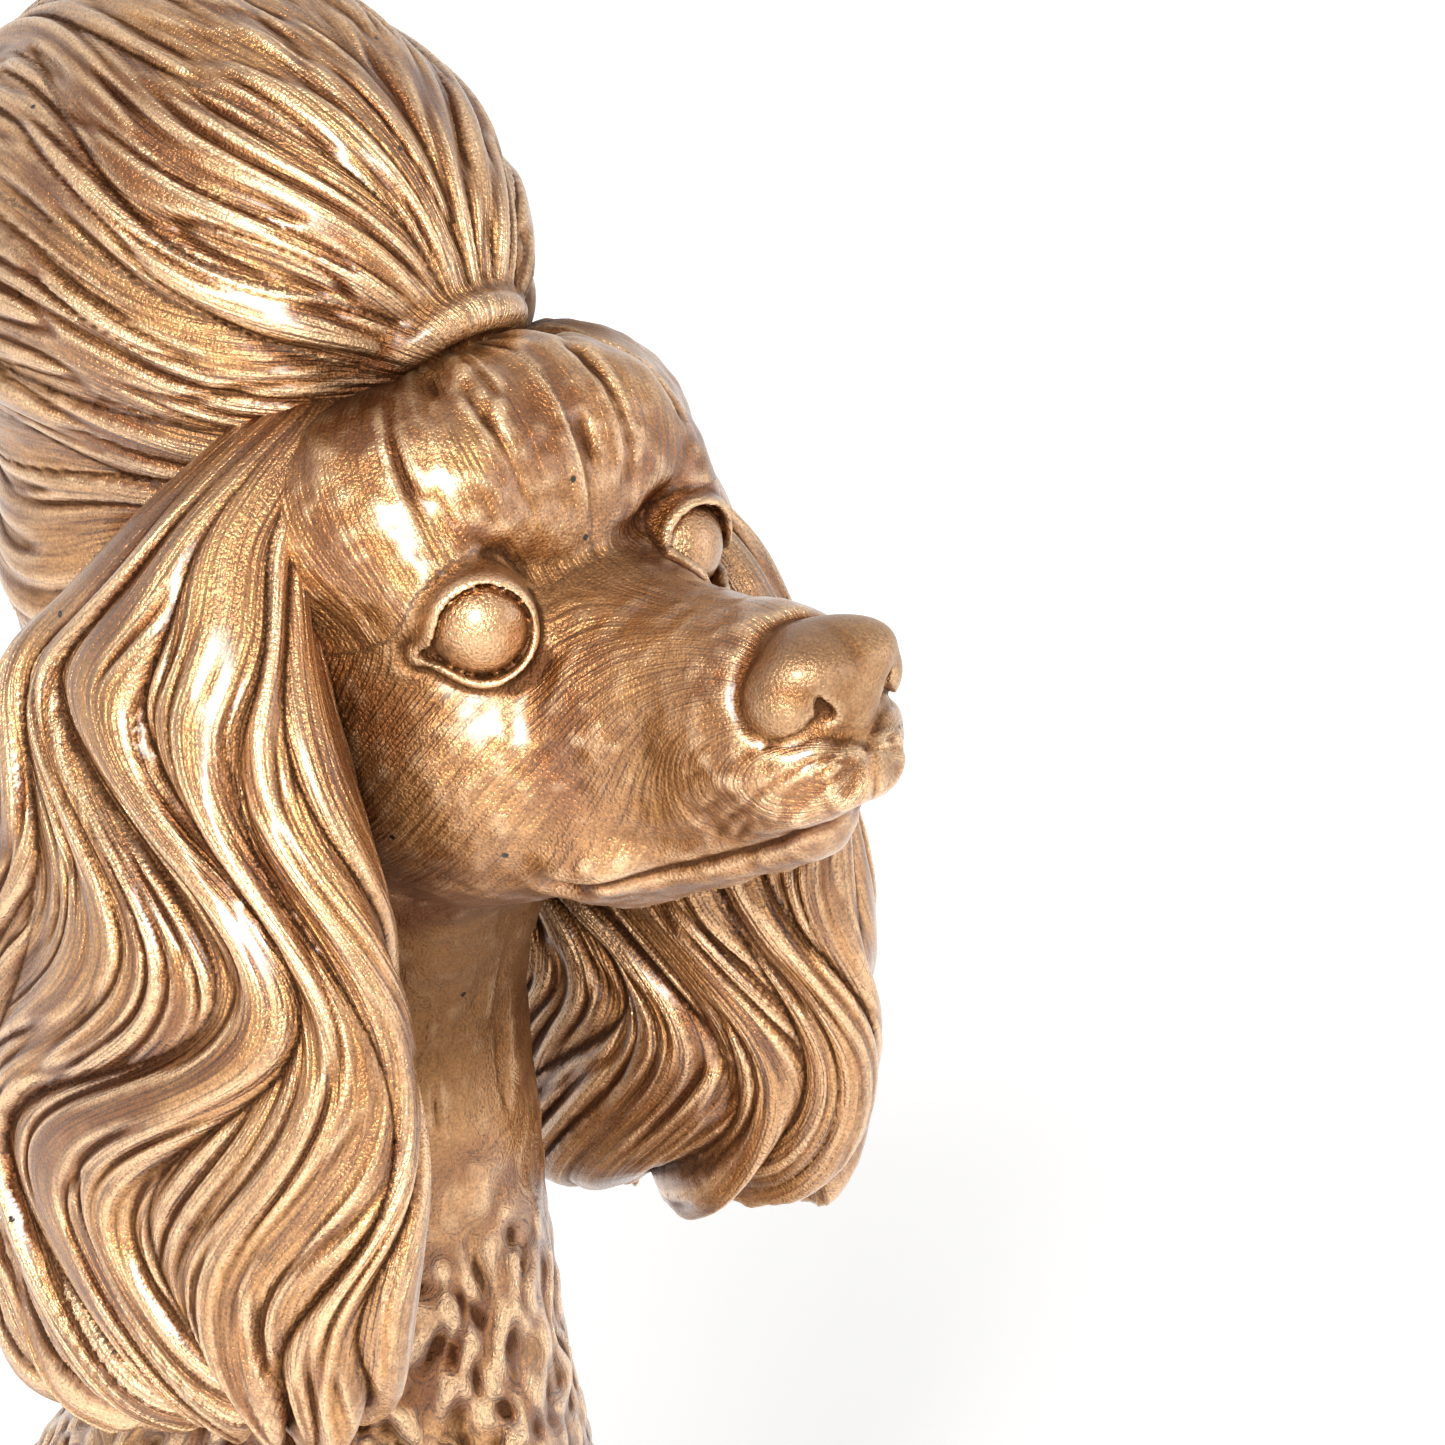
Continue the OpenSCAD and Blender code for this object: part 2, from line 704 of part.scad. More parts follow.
module hind_leg(side) {
    foot = [side * hindfoot_x, hindfoot_y, 0];
    color(gold)
        union() {
            difference() {
                on_table() {
                    translate([side * (haunch_span - haunch_t) / 2, haunch_y, haunch_h * 0.48])
                        ellipsoid([haunch_t, haunch_len, haunch_h]);
                    limb(foot + [0, haunch_len * 0.4, paw_h * 0.6], paw_h * 0.68,
                         foot + [0, -0.25 * hindfoot_len, paw_h * 0.5], paw_h * 0.62, $fn = 16);
                    paw(foot, hindfoot_len);
                    for (share = [0.3, 0.6], turn = [0 : 45 : 180])
                        curl(haunch_point(side, turn, share));
                }
                torso_form(glue_gap);
            }
            hind_leg_key(side);
        }
}

module tail() {
    tip = tail_root + tail_stem_len * tail_aim;
    middle = tip + pompom_d * 0.36 * tail_aim;
    color(gold)
        union() {
            difference() {
                union() {
                    limb(tail_root, tail_stem_d / 2, tip, tail_stem_d * 0.42, $fn = 16);
                    ball(middle, pompom_d / 2);
                    for (lift = [0, 45], turn = [0 : 60 : 300])
                        curl(middle + pompom_d / 2 * [cos(lift) * cos(turn), cos(lift) * sin(turn), sin(lift)]);
                }
                torso_form(glue_gap);
            }
            tail_key();
        }
}

module left_ear() {
    ear(left);
}

module right_ear() {
    ear(right);
}

module left_foreleg() {
    foreleg(left);
}

module right_foreleg() {
    foreleg(right);
}

module left_hind_leg() {
    hind_leg(left);
}

module right_hind_leg() {
    hind_leg(right);
}

torso_shell();
base_plug();
seat_felt();
head_shell();
topknot();
left_ear();
right_ear();
left_foreleg();
right_foreleg();
left_hind_leg();
right_hind_leg();
tail();
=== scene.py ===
# %% [markdown]
# # A gold painted poodle
# The object is a decorative dog, cast in a few members and painted with metallic gold paint. A packed
# CAD model gives every member its place and size. This lesson keeps those places and makes the skin
# that the eye sees: a modelled face, combed locks on the topknot and the ears, and a coat of tight
# curls.

# %% Load the frame
import math

import bpy
import mathutils
import numpy as np
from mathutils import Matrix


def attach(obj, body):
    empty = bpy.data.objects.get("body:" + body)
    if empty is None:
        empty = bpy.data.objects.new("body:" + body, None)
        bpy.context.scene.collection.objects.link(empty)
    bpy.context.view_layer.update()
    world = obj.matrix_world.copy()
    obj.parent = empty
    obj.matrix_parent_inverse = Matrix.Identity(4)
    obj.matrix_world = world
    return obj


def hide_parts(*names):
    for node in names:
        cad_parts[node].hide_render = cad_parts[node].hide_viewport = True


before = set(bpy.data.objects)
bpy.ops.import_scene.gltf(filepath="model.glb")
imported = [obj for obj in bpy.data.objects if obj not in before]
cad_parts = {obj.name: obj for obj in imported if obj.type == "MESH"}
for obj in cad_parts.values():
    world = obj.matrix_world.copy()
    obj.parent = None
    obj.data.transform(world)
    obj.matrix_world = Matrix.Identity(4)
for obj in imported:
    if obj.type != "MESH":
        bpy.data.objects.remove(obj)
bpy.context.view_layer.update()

import openvdb

# %% [markdown]
# ## Places on the dog
# All shapes below are worked out in millimetres, in the CAD frame: the dog looks along -Y, its left
# is +X and it sits on Z = 0. A sculptor measures a head from the eyes, so places on the head are
# given as reach before the eyes, height above them and distance aside.

# %% Measure from the eyes
EYE_REACH = 42.0
EYE_HEIGHT = 200.0
SEAM_HEIGHT = 146.0
MM = 0.001


def at(reach, height, aside=0.0):
    return np.array([aside, -EYE_REACH - reach, EYE_HEIGHT + height])


print("Nose tip at", at(32, -1))

# %% [markdown]
# ## Soft solids
# A modeller builds a dog from lumps of clay that run into each other. The same can be done with
# distance fields: each lump is a function that is negative inside and positive outside, and a soft
# minimum runs two lumps together. Blender's metaballs work this way too, but they can't carve, taper
# or follow slices.

# %% Lumps of clay
def ellipsoid(p, centre, radii):
    q = [(a - c) / r for a, c, r in zip(p, centre, radii)]
    inner = np.sqrt(q[0] ** 2 + q[1] ** 2 + q[2] ** 2) + 1e-6
    slope = np.sqrt((q[0] / radii[0]) ** 2 + (q[1] / radii[1]) ** 2 + (q[2] / radii[2]) ** 2) + 1e-6
    return inner * (inner - 1) / slope


def limb(p, start, end, start_r, end_r):
    way = end - start
    offset = [a - s for a, s in zip(p, start)]
    share = sum(o * w for o, w in zip(offset, way)) / (way @ way)
    share = np.clip(share, 0, 1)
    gap = np.sqrt(sum((o - share * w) ** 2 for o, w in zip(offset, way)))
    return gap - (start_r + share * (end_r - start_r))


def ring(p, centre, axis, radius, thickness):
    offset = [a - c for a, c in zip(p, centre)]
    height = sum(o * w for o, w in zip(offset, axis))
    reach = np.sqrt(np.maximum(sum(o ** 2 for o in offset) - height ** 2, 0))
    return np.sqrt((reach - radius) ** 2 + height ** 2) - thickness


def join(a, b, softness):
    share = np.clip(0.5 + 0.5 * (b - a) / softness, 0, 1)
    return b + (a - b) * share - softness * share * (1 - share)


def carve(a, b, softness):
    return -join(-a, b, softness)


print("A point 1 mm outside a ball of 5 mm:", ellipsoid((6.0, 0.0, 0.0), (0, 0, 0), (5, 5, 5)))

# %% [markdown]
# Long forms such as the skull, the body and the legs follow slices. A few slices are given and a
# smooth curve through them fills in the rest, as a boat builder's battens do.

# %% Forms through slices
def faired(slices, count=60):
    rows = np.array(slices, dtype=float)
    last = len(rows) - 1
    spot = np.linspace(0, last, count)
    i = np.minimum(spot.astype(int), last - 1)
    k = (spot - i)[:, None]
    a, b = rows[np.maximum(i - 1, 0)], rows[i]
    c, d = rows[i + 1], rows[np.minimum(i + 2, last)]
    return b + 0.5 * k * ((c - a) + k * ((2 * a - 5 * b + 4 * c - d) + k * (3 * b - a - 3 * c + d)))


def form(along, aside, across, slices, squareness=2.0):
    """Slices hold place along, middle aside, half width, middle across, and reach below and above it."""
    rows = faired(slices)
    rows = rows[np.argsort(rows[:, 0])]
    middle_a, half, middle_b, below, above = (np.interp(along, rows[:, 0], rows[:, i]) for i in range(1, 6))
    u = np.abs(aside - middle_a) / half
    v = across - middle_b
    v = np.abs(v) / np.where(v < 0, below, above)
    size = (u ** squareness + v ** squareness) ** (1 / squareness)
    sides = (size - 1) * np.minimum(half, np.minimum(below, above))
    ends = np.maximum(rows[0, 0] - along, along - rows[-1, 0])
    return np.maximum(sides, ends)


print("Slices filled in:", faired([[0, 1], [10, 2], [20, 1]]).shape[0])

# %% [markdown]
# ## Chance that stays the same
# Hand work is never quite even, so many details below need noise. A formula that scrambles whole
# numbers gives the same noise in every run, and it works on a hundred thousand points at once.
# Blender's own noise functions for scripts take one point at a time.

# %% Random numbers that never change
def scatter(cells, seed):
    h = (cells[..., 0].astype(np.int64) * 374761393 + cells[..., 1].astype(np.int64) * 668265263
         + cells[..., 2].astype(np.int64) * 2147483647 + seed * 1274126177)
    h = (h ^ (h >> 13)) * 1103515245 & 0x7FFFFFFF
    h = (h ^ (h >> 16)) * 1597334677 & 0x7FFFFFFF
    return h / 0x7FFFFFFF


def clouds(points, seed):
    """Smooth noise from -1 to 1, with one bump per unit."""
    base = np.floor(points)
    local = points - base
    blend = local * local * (3 - 2 * local)
    total = np.zeros(len(points))
    for corner in np.ndindex(2, 2, 2):
        weight = np.prod(np.where(np.array(corner) == 1, blend, 1 - blend), axis=1)
        total += weight * scatter(base + corner, seed)
    return 2 * total - 1


print("Noise sample:", np.round(clouds(np.array([[0.5, 0.2, 0.1], [3.3, 1.0, 2.0]]), 1), 3))

# %% [markdown]
# ## From clay to mesh
# A field is only a function until it is sampled on a grid. OpenVDB, which comes with Blender, finds
# where it passes through zero and returns points and quads, which go straight into a mesh. A remesh
# modifier could do the same from rough solids, but it rounds off lids and lips. Fine detail is pushed
# in or out along the normals afterwards, because that needs far fewer samples than a finer grid. The
# quick setting of the tools takes coarser steps.

# %% Wrap a field in quads
FINE = 1.0


def wrap(field, low, high, step):
    step = step * FINE
    axes = [np.arange(a, b, step, dtype=np.float32) for a, b in zip(low, high)]
    p = (axes[0][:, None, None], axes[1][None, :, None], axes[2][None, None, :])
    values = np.broadcast_to(field(p), [len(a) for a in axes])
    grid = openvdb.FloatGrid(10.0)
    grid.copyFromArray(np.array(values, dtype=np.float32))
    points, quads = grid.convertToQuads(0.0)
    return points * step + np.array(low), quads


def mesh_from(name, points, quads):
    mesh = bpy.data.meshes.new(name)
    mesh.vertices.add(len(points))
    mesh.loops.add(quads.size)
    mesh.polygons.add(len(quads))
    mesh.vertices.foreach_set("co", (points * MM).astype(np.float32).ravel())
    mesh.loops.foreach_set("vertex_index", quads.astype(np.int32).ravel())
    mesh.polygons.foreach_set("loop_start", np.arange(0, quads.size, 4, dtype=np.int32))
    mesh.update(calc_edges=True)
    mesh.validate()
    return mesh


def normals_of(mesh):
    normals = np.empty(3 * len(mesh.vertices), dtype=np.float32)
    mesh.vertices.foreach_get("normal", normals)
    return normals.reshape(-1, 3).astype(float)


print("Grid steps are multiplied by", FINE)

# %% [markdown]
# The wash and the painted shade both darken hollows, so each vertex stores how hollow the surface is
# there. The place of a vertex against the mean of its neighbours tells a hollow from a ridge: a mean
# over a few steps finds narrow grooves, and one over many steps finds wider dips. The pointiness of
# Blender's Geometry node is alike, but it knows one width only.

# %% Means over neighbours
GROOVE_STEPS = 4
DIP_STEPS = 18


def neighbour_mean(mesh):
    edges = np.empty(2 * len(mesh.edges), dtype=np.int32)
    mesh.edges.foreach_get("vertices", edges)
    a, b = edges.reshape(-1, 2).T
    count = len(mesh.vertices)
    degree = np.maximum(np.bincount(a, minlength=count) + np.bincount(b, minlength=count), 1)

    def mean(values, times):
        columns = values.copy()
        for _ in range(times):
            for i in range(columns.shape[1]):
                column = columns[:, i]
                columns[:, i] = (np.bincount(a, weights=column[b], minlength=count)
                                 + np.bincount(b, weights=column[a], minlength=count)) / degree
        return columns

    return mean


print("Steps for a groove and a dip:", GROOVE_STEPS, DIP_STEPS)

# %% [markdown]
# Every member is made in the same order: wrap the field, push the detail in or out, measure the
# hollows, and hand the piece to the frame in place of its plain solid. The detail also says where
# strands run and where shade is painted in pools, and the paint reads all of this from the vertices.

# %% Make a piece
def store(mesh, name, values):
    layer = mesh.attributes.new(name, "FLOAT", "POINT")
    layer.data.foreach_set("value", values.astype(np.float32))


def make_piece(name, node, field, low, high, step, detail):
    points, quads = wrap(field, low, high, step)
    mesh = mesh_from(name, points, quads)
    offset, strands, shade_pool = detail(points, normals_of(mesh))
    mean = neighbour_mean(mesh)

    # Half of each push is shared with the neighbours, which takes the point off single vertices
    points = points + 0.5 * (offset + mean(offset, 1))
    mesh.vertices.foreach_set("co", (points * MM).astype(np.float32).ravel())
    mesh.update()
    normals = normals_of(mesh)
    # Groove and dip set where the wash and the painted shade go in the paint.
    groove = np.sum((mean(points, GROOVE_STEPS) - points) * normals, axis=1)
    store(mesh, "groove", groove)
    store(mesh, "dip", np.sum((mean(points, DIP_STEPS) - points) * normals, axis=1))
    store(mesh, "shade_pool", shade_pool)
    layer = mesh.attributes.new("strand", "FLOAT_VECTOR", "POINT")
    layer.data.foreach_set("vector", strands.astype(np.float32).ravel())
    mesh.shade_smooth()

    piece = bpy.data.objects.new(name, mesh)
    bpy.context.scene.collection.objects.link(piece)
    piece.data.materials.append(gold_paint)
    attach(piece, "root")
    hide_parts(node)
    print(f"{name}: {len(points)} vertices, groove {np.percentile(groove, [5, 50, 95]).round(3)}")
    return piece


print("Each vertex stores groove, dip, pool and strand")

# %% [markdown]
# ## The finishes
# Gold paint on a casting is a mid brown-gold with fine flakes in it. A thin brown wash stays in the
# furrows and the ridges are rubbed bright. Shade and highlight are also painted in on top: dark brown in
# furrows, dips and recesses, and pale gold on the ridges. Here and there an air bubble in the casting
# left a pin hole. Colours are written as they look on screen and turned into linear light by one function.

# %% Helpers for materials
def colour(code):
    parts = [int(code[i:i + 2], 16) / 255 for i in (1, 3, 5)]
    return [p / 12.92 if p <= 0.04045 else ((p + 0.055) / 1.055) ** 2.4 for p in parts] + [1.0]


def add(tree, kind, links=None, inputs=None, **settings):
    node = tree.nodes.new(kind)
    for key, value in settings.items():
        setattr(node, key, value)
    for key, value in (inputs or {}).items():
        node.inputs[key].default_value = value
    for key, source in (links or {}).items():
        tree.links.new(source, node.inputs[key])
    return node


def new_material(name):
    material = bpy.data.materials.new(name)
    material.use_nodes = True
    tree = material.node_tree
    return material, tree, tree.nodes["Principled BSDF"]


print("Mid grey in linear light:", [round(v, 3) for v in colour("#808080")])

# %% [markdown]
# The gold is bronze powder in a clear binder, brushed over the casting. One flat metallic colour
# would do for a toy, but hand work leaves warm and pale clouds. Noise in object coordinates gives the
# clouds, so their size is in real millimetres on every member.

# %% Gold paint
GOLD = "#AF7F4E"
WARM_GOLD = "#7A4619"
PER_MM = 1000.0
CLOUD_MM = 12

gold_paint, tree, gold = new_material("gold_paint")
place = add(tree, "ShaderNodeTexCoord").outputs["Object"]
patches = add(tree, "ShaderNodeTexNoise", {"Vector": place}, {"Scale": PER_MM / CLOUD_MM, "Detail": 3.0})
patchy = add(tree, "ShaderNodeMapRange", {"Value": patches.outputs["Fac"]},
             {"From Min": 0.44, "From Max": 0.62, "To Min": 0.0, "To Max": 0.9})
body = add(tree, "ShaderNodeMix", {"Factor": patchy.outputs["Result"]},
           {6: colour(GOLD), 7: colour(WARM_GOLD)}, data_type="RGBA")
print("Clouds in the paint:", CLOUD_MM, "mm across")

# %% [markdown]
# A rag that wipes the wash off a combed surface skips the lower strands and rubs the ridges bright.
# The strands are stretched noise in the places that each vertex stores: across and along the hair in
# millimetres, and how strong the strands are. The ridges come from the measured hollows, with the
# sign turned round, and their pale gold is partly rubbed paint and partly a painted highlight.

# %% Wiped strands, and rubbed paint and painted highlight on ridges
BROWN_STRAND = "#6B3E1B"
RUBBED_AND_HIGHLIGHT_GOLD = "#DEB78C"
STRAND_WIDE_MM = 1
STRAND_LONG_MM = 12

groove = add(tree, "ShaderNodeAttribute", attribute_name="groove").outputs["Fac"]
strand = add(tree, "ShaderNodeAttribute", attribute_name="strand").outputs["Vector"]
strength = add(tree, "ShaderNodeSeparateXYZ", {"Vector": strand}).outputs["Z"]
tone_units = add(tree, "ShaderNodeVectorMath", {0: strand},
                 {1: (1 / STRAND_WIDE_MM, 1 / STRAND_LONG_MM, 0.0)}, operation="MULTIPLY")
tones = add(tree, "ShaderNodeTexNoise", {"Vector": tone_units.outputs[0]},
            {"Scale": 1.0, "Detail": 3.0, "Roughness": 0.65})
skipped = add(tree, "ShaderNodeMapRange", {"Value": tones.outputs["Fac"]},
              {"From Min": 0.40, "From Max": 0.56, "To Min": 0.75, "To Max": 0.0})
brown = add(tree, "ShaderNodeMath", {0: skipped.outputs["Result"], 1: strength}, operation="MULTIPLY")
streaky = add(tree, "ShaderNodeMix", {"Factor": brown.outputs[0], 6: body.outputs[2]},
              {7: colour(BROWN_STRAND)}, data_type="RGBA")
# Pale gold on the ridges: partly rubbed paint, partly a painted highlight.
ridge_rub_and_highlight = add(tree, "ShaderNodeMapRange", {"Value": groove},
            {"From Min": -0.01, "From Max": -0.09, "To Min": 0.0, "To Max": 0.8})
rubbed_and_highlit = add(tree, "ShaderNodeMix", {"Factor": ridge_rub_and_highlight.outputs["Result"], 6: streaky.outputs[2]},
            {7: colour(RUBBED_AND_HIGHLIGHT_GOLD)}, data_type="RGBA")
print("Strands in the paint:", STRAND_WIDE_MM, "by", STRAND_LONG_MM, "mm")

# %% [markdown]
# The brown is partly a thin wash of paint and partly painted shade. Wash and painted shade lie in
# narrow grooves. Painted shade alone lies in wider dips and in pools, such as behind the ears and at
# the hair tie. The strongest of the three wins, as coats of the same brown don't add up.

# %% Brown wash and painted shade
WASH_AND_SHADE = "#3E200D"

dip = add(tree, "ShaderNodeAttribute", attribute_name="dip").outputs["Fac"]
# The shade pools are painted shade in recesses.
shade_pool = add(tree, "ShaderNodeAttribute", attribute_name="shade_pool").outputs["Fac"]
# Narrow grooves get wash and painted shade; wider dips get painted shade only.
in_groove = add(tree, "ShaderNodeMapRange", {"Value": groove},
                {"From Min": 0.012, "From Max": 0.10, "To Min": 0.0, "To Max": 0.85})
shade_in_dip = add(tree, "ShaderNodeMapRange", {"Value": dip},
             {"From Min": 0.15, "From Max": 1.0, "To Min": 0.0, "To Max": 0.6})
wash_and_shade_in_hollows = add(tree, "ShaderNodeMath", {0: in_groove.outputs["Result"], 1: shade_in_dip.outputs["Result"]},
             operation="MAXIMUM")
wash_and_shade = add(tree, "ShaderNodeMath", {0: wash_and_shade_in_hollows.outputs[0], 1: shade_pool}, operation="MAXIMUM").outputs[0]
# This mix paints the wash and the shade in one brown.
washed_and_shaded = add(tree, "ShaderNodeMix", {"Factor": wash_and_shade, 6: rubbed_and_highlit.outputs[2]},
             {7: colour(WASH_AND_SHADE)}, data_type="RGBA")
print("Wash in linear light:", [round(v, 3) for v in colour(WASH_AND_SHADE)])

# %% [markdown]
# Air bubbles leave pin holes of half a millimetre, in some of the cells of a 5 mm pattern, and the
# shade inside each hole is painted in dark brown. The flakes of bronze powder are finer than a pixel,
# so they are drawn a quarter of a millimetre wide to show, and their glints are painted in by making
# the gold brighter or darker from flake to flake.

# %% Pin holes with painted shade, and flakes with painted glints
PIT_SHADE_BROWN = "#1E120A"
PIT_CELL_MM = 5
FLAKE_MM = 0.25

cells = add(tree, "ShaderNodeTexVoronoi", {"Vector": place}, {"Scale": PER_MM / PIT_CELL_MM})
pit = add(tree, "ShaderNodeMapRange", {"Value": cells.outputs["Distance"]},
          {"From Min": 0.045, "From Max": 0.06, "To Min": 1.0, "To Max": 0.0})
picked = add(tree, "ShaderNodeSeparateColor", {"Color": cells.outputs["Color"]})
chosen = add(tree, "ShaderNodeMath", {0: picked.outputs["Red"]}, {1: 0.55}, operation="GREATER_THAN")
pits = add(tree, "ShaderNodeMath", {0: pit.outputs["Result"], 1: chosen.outputs[0]}, operation="MULTIPLY")
# The dark brown in the pin holes is painted shade.
skin = add(tree, "ShaderNodeMix", {"Factor": pits.outputs[0], 6: washed_and_shaded.outputs[2]},
           {7: colour(PIT_SHADE_BROWN)}, data_type="RGBA")
flakes = add(tree, "ShaderNodeTexNoise", {"Vector": place}, {"Scale": PER_MM / FLAKE_MM, "Detail": 2.0})
glint = add(tree, "ShaderNodeMapRange", {"Value": flakes.outputs["Fac"]},
            {"From Min": 0.3, "From Max": 0.7, "To Min": 0.72, "To Max": 1.28})
# The flake to flake brightness in the colour is a painted glint.
speckled = add(tree, "ShaderNodeHueSaturation",
               {"Value": glint.outputs["Result"], "Color": skin.outputs[2]})
tree.links.new(speckled.outputs["Color"], gold.inputs["Base Color"])
print("Pin holes lie in cells of", PIT_CELL_MM, "mm, flakes are", FLAKE_MM, "mm")

# %% [markdown]
# Metal flakes in a binder are metallic, but duller than bare metal, and duller still where the wash and the
# painted shade lie.
# The binder is a clear coat where the rag polished it. Hairs of half a millimetre, flakes and pin
# holes are too fine for the mesh, so three bumps in a row carry them.

# %% Gloss and grain
HAIR_WIDE_MM = 0.5
HAIR_LONG_MM = 7

gold.inputs["Metallic"].default_value = 0.85
gold.inputs["Coat Roughness"].default_value = 0.25
clear = add(tree, "ShaderNodeMapRange", {"Value": wash_and_shade},
            {"From Min": 0.0, "From Max": 0.6, "To Min": 0.85, "To Max": 0.0})
tree.links.new(clear.outputs["Result"], gold.inputs["Coat Weight"])
satin = add(tree, "ShaderNodeMapRange", {"Value": flakes.outputs["Fac"]},
            {"From Min": 0.3, "From Max": 0.7, "To Min": 0.24, "To Max": 0.38})
dull = add(tree, "ShaderNodeMath", {0: wash_and_shade, 2: satin.outputs["Result"]}, {1: 0.25},
           operation="MULTIPLY_ADD")
tree.links.new(dull.outputs[0], gold.inputs["Roughness"])

hair_units = add(tree, "ShaderNodeVectorMath", {0: strand},
                 {1: (1 / HAIR_WIDE_MM, 1 / HAIR_LONG_MM, 0.0)}, operation="MULTIPLY")
hairs = add(tree, "ShaderNodeTexNoise", {"Vector": hair_units.outputs[0]}, {"Scale": 1.0, "Detail": 1.0})
hair_height = add(tree, "ShaderNodeMath", {0: hairs.outputs["Fac"], 1: strength}, operation="MULTIPLY")
hair_bump = add(tree, "ShaderNodeBump", {"Height": hair_height.outputs[0]},
                {"Strength": 1.0, "Distance": 0.5 * MM})
grain_bump = add(tree, "ShaderNodeBump",
                 {"Height": flakes.outputs["Fac"], "Normal": hair_bump.outputs["Normal"]},
                 {"Strength": 1.0, "Distance": 0.15 * MM})
pit_bump = add(tree, "ShaderNodeBump", {"Height": pits.outputs[0], "Normal": grain_bump.outputs["Normal"]},
               {"Strength": 1.0, "Distance": 0.3 * MM}, invert=True)
tree.links.new(pit_bump.outputs["Normal"], gold.inputs["Normal"])
print("Gold paint:", len(tree.nodes), "nodes")

# %% [markdown]
# Two more finishes are out of sight from the front. The plug in the base is bare casting stone: pale,
# dull and a little uneven in colour. The pad under it is black felt, a mat of fibres that scatters
# light softly. Both keep the plain solids of the CAD model, since a disc needs no sculpting.

# %% Bare casting and felt
STONE = ("#CFC4B2", "#E2DACB")
FELT = ("#1F1D1C", "#3A3734")
MOTTLE_MM = 4
FIBRE_MM = 0.6

bare_cast, tree, stone = new_material("bare_cast")
place = add(tree, "ShaderNodeTexCoord").outputs["Object"]
mottle = add(tree, "ShaderNodeTexNoise", {"Vector": place}, {"Scale": PER_MM / MOTTLE_MM, "Detail": 4.0})
pale = add(tree, "ShaderNodeMix", {"Factor": mottle.outputs["Fac"]},
           {6: colour(STONE[0]), 7: colour(STONE[1])}, data_type="RGBA")
tree.links.new(pale.outputs[2], stone.inputs["Base Color"])
stone.inputs["Roughness"].default_value = 0.85

felt, tree, cloth = new_material("felt")
place = add(tree, "ShaderNodeTexCoord").outputs["Object"]
fibres = add(tree, "ShaderNodeTexNoise", {"Vector": place}, {"Scale": PER_MM / FIBRE_MM, "Detail": 5.0})
dark = add(tree, "ShaderNodeMix", {"Factor": fibres.outputs["Fac"]},
           {6: colour(FELT[0]), 7: colour(FELT[1])}, data_type="RGBA")
nap = add(tree, "ShaderNodeBump", {"Height": fibres.outputs["Fac"]},
          {"Strength": 0.8, "Distance": 0.4 * MM})
tree.links.new(dark.outputs[2], cloth.inputs["Base Color"])
tree.links.new(nap.outputs["Normal"], cloth.inputs["Normal"])
cloth.inputs["Roughness"].default_value = 0.95
cloth.inputs["Sheen Weight"].default_value = 0.4

for name, finish in (("base_plug", bare_cast), ("seat_felt", felt)):
    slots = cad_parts[name].material_slots
    for spot in slots:
        spot.material = finish
    print(name, "has", len(slots), "slot(s)")

# %% [markdown]
# ## Hair
# A carver cuts long hair as locks that lie side by side and wave, and then scratches strands along
# each lock. The furrow between two locks wanders to and fro, by the same formula as in the CAD model,
# so that the fine strands sit on the same locks. A lock is rounded, and higher on the edge where it
# lies on the next one.

# %% Locks
GOLDEN = 0.618
LOCK_WANDER = 0.3


def ease(low, high, value):
    t = np.clip((value - low) / (high - low), 0, 1)
    return t * t * (3 - 2 * t)


def chance(number):
    return GOLDEN * number - np.floor(GOLDEN * number)


def lock_edge(number, count, sway):
    return number + LOCK_WANDER * np.sin(2 * math.pi * (sway + chance(np.mod(number, count))))


def locks(turn, sway, count):
    """The lock's number at each turn, the place across it from 0 to 1 and its width, counted in locks."""
    cell = np.floor(turn)
    own, place, width = np.zeros((3, len(turn)))
    for number in (cell - 1, cell, cell + 1):
        low = lock_edge(number, count, sway)
        high = lock_edge(number + 1, count, sway)
        inside = (turn >= low) & (turn < high)
        own = np.where(inside, np.mod(number, count), own)
        place = np.where(inside, (turn - low) / (high - low), place)
        width = np.where(inside, high - low, width)
    return own, place, width


def unwave(turn, wave):
    """The turn that a wave has carried to the given turn."""
    start = turn
    for _ in range(8):
        start = turn + wave(start)
    return start


probe = np.linspace(0, 3, 7)
print("Places across the locks:", locks(probe, 0 * probe, 10)[1].round(2))

# %% [markdown]
# Strands are cut along a lock with a small tool, so they are long and thin, begin and end, and don't
# repeat. Noise along each column, with its own start, gives that. Scratches alone would look flat, so
# a lock also has a round back and a deep furrow at its edge.

# %% Strands
def streaks(across, along, width, length, seed):
    """Long lens shapes side by side, from -1 to 1."""
    u = across / width
    column = np.floor(u)
    share = ease(0, 1, u - column)
    total = np.zeros(len(u))
    for step, weight in ((0, 1 - share), (1, share)):
        number = column + step
        start = 50 * scatter(np.stack([number, 0 * u, 0 * u], axis=1), seed)
        total += weight * clouds(np.stack([along / length + start, number, 0 * u], axis=1), seed + 1)
    return total


def strokes(across, along, width, length, seed):
    """Lens-shaped cuts of a modelling tool, from 0 between them to 1 in their middle."""
    return ease(0.2, 0.7, streaks(across, along, width, length, seed))


STREAK_MM = (2.1, 15)
STROKE_MM = (1.15, 10)
LOCKS_APART = 97.0


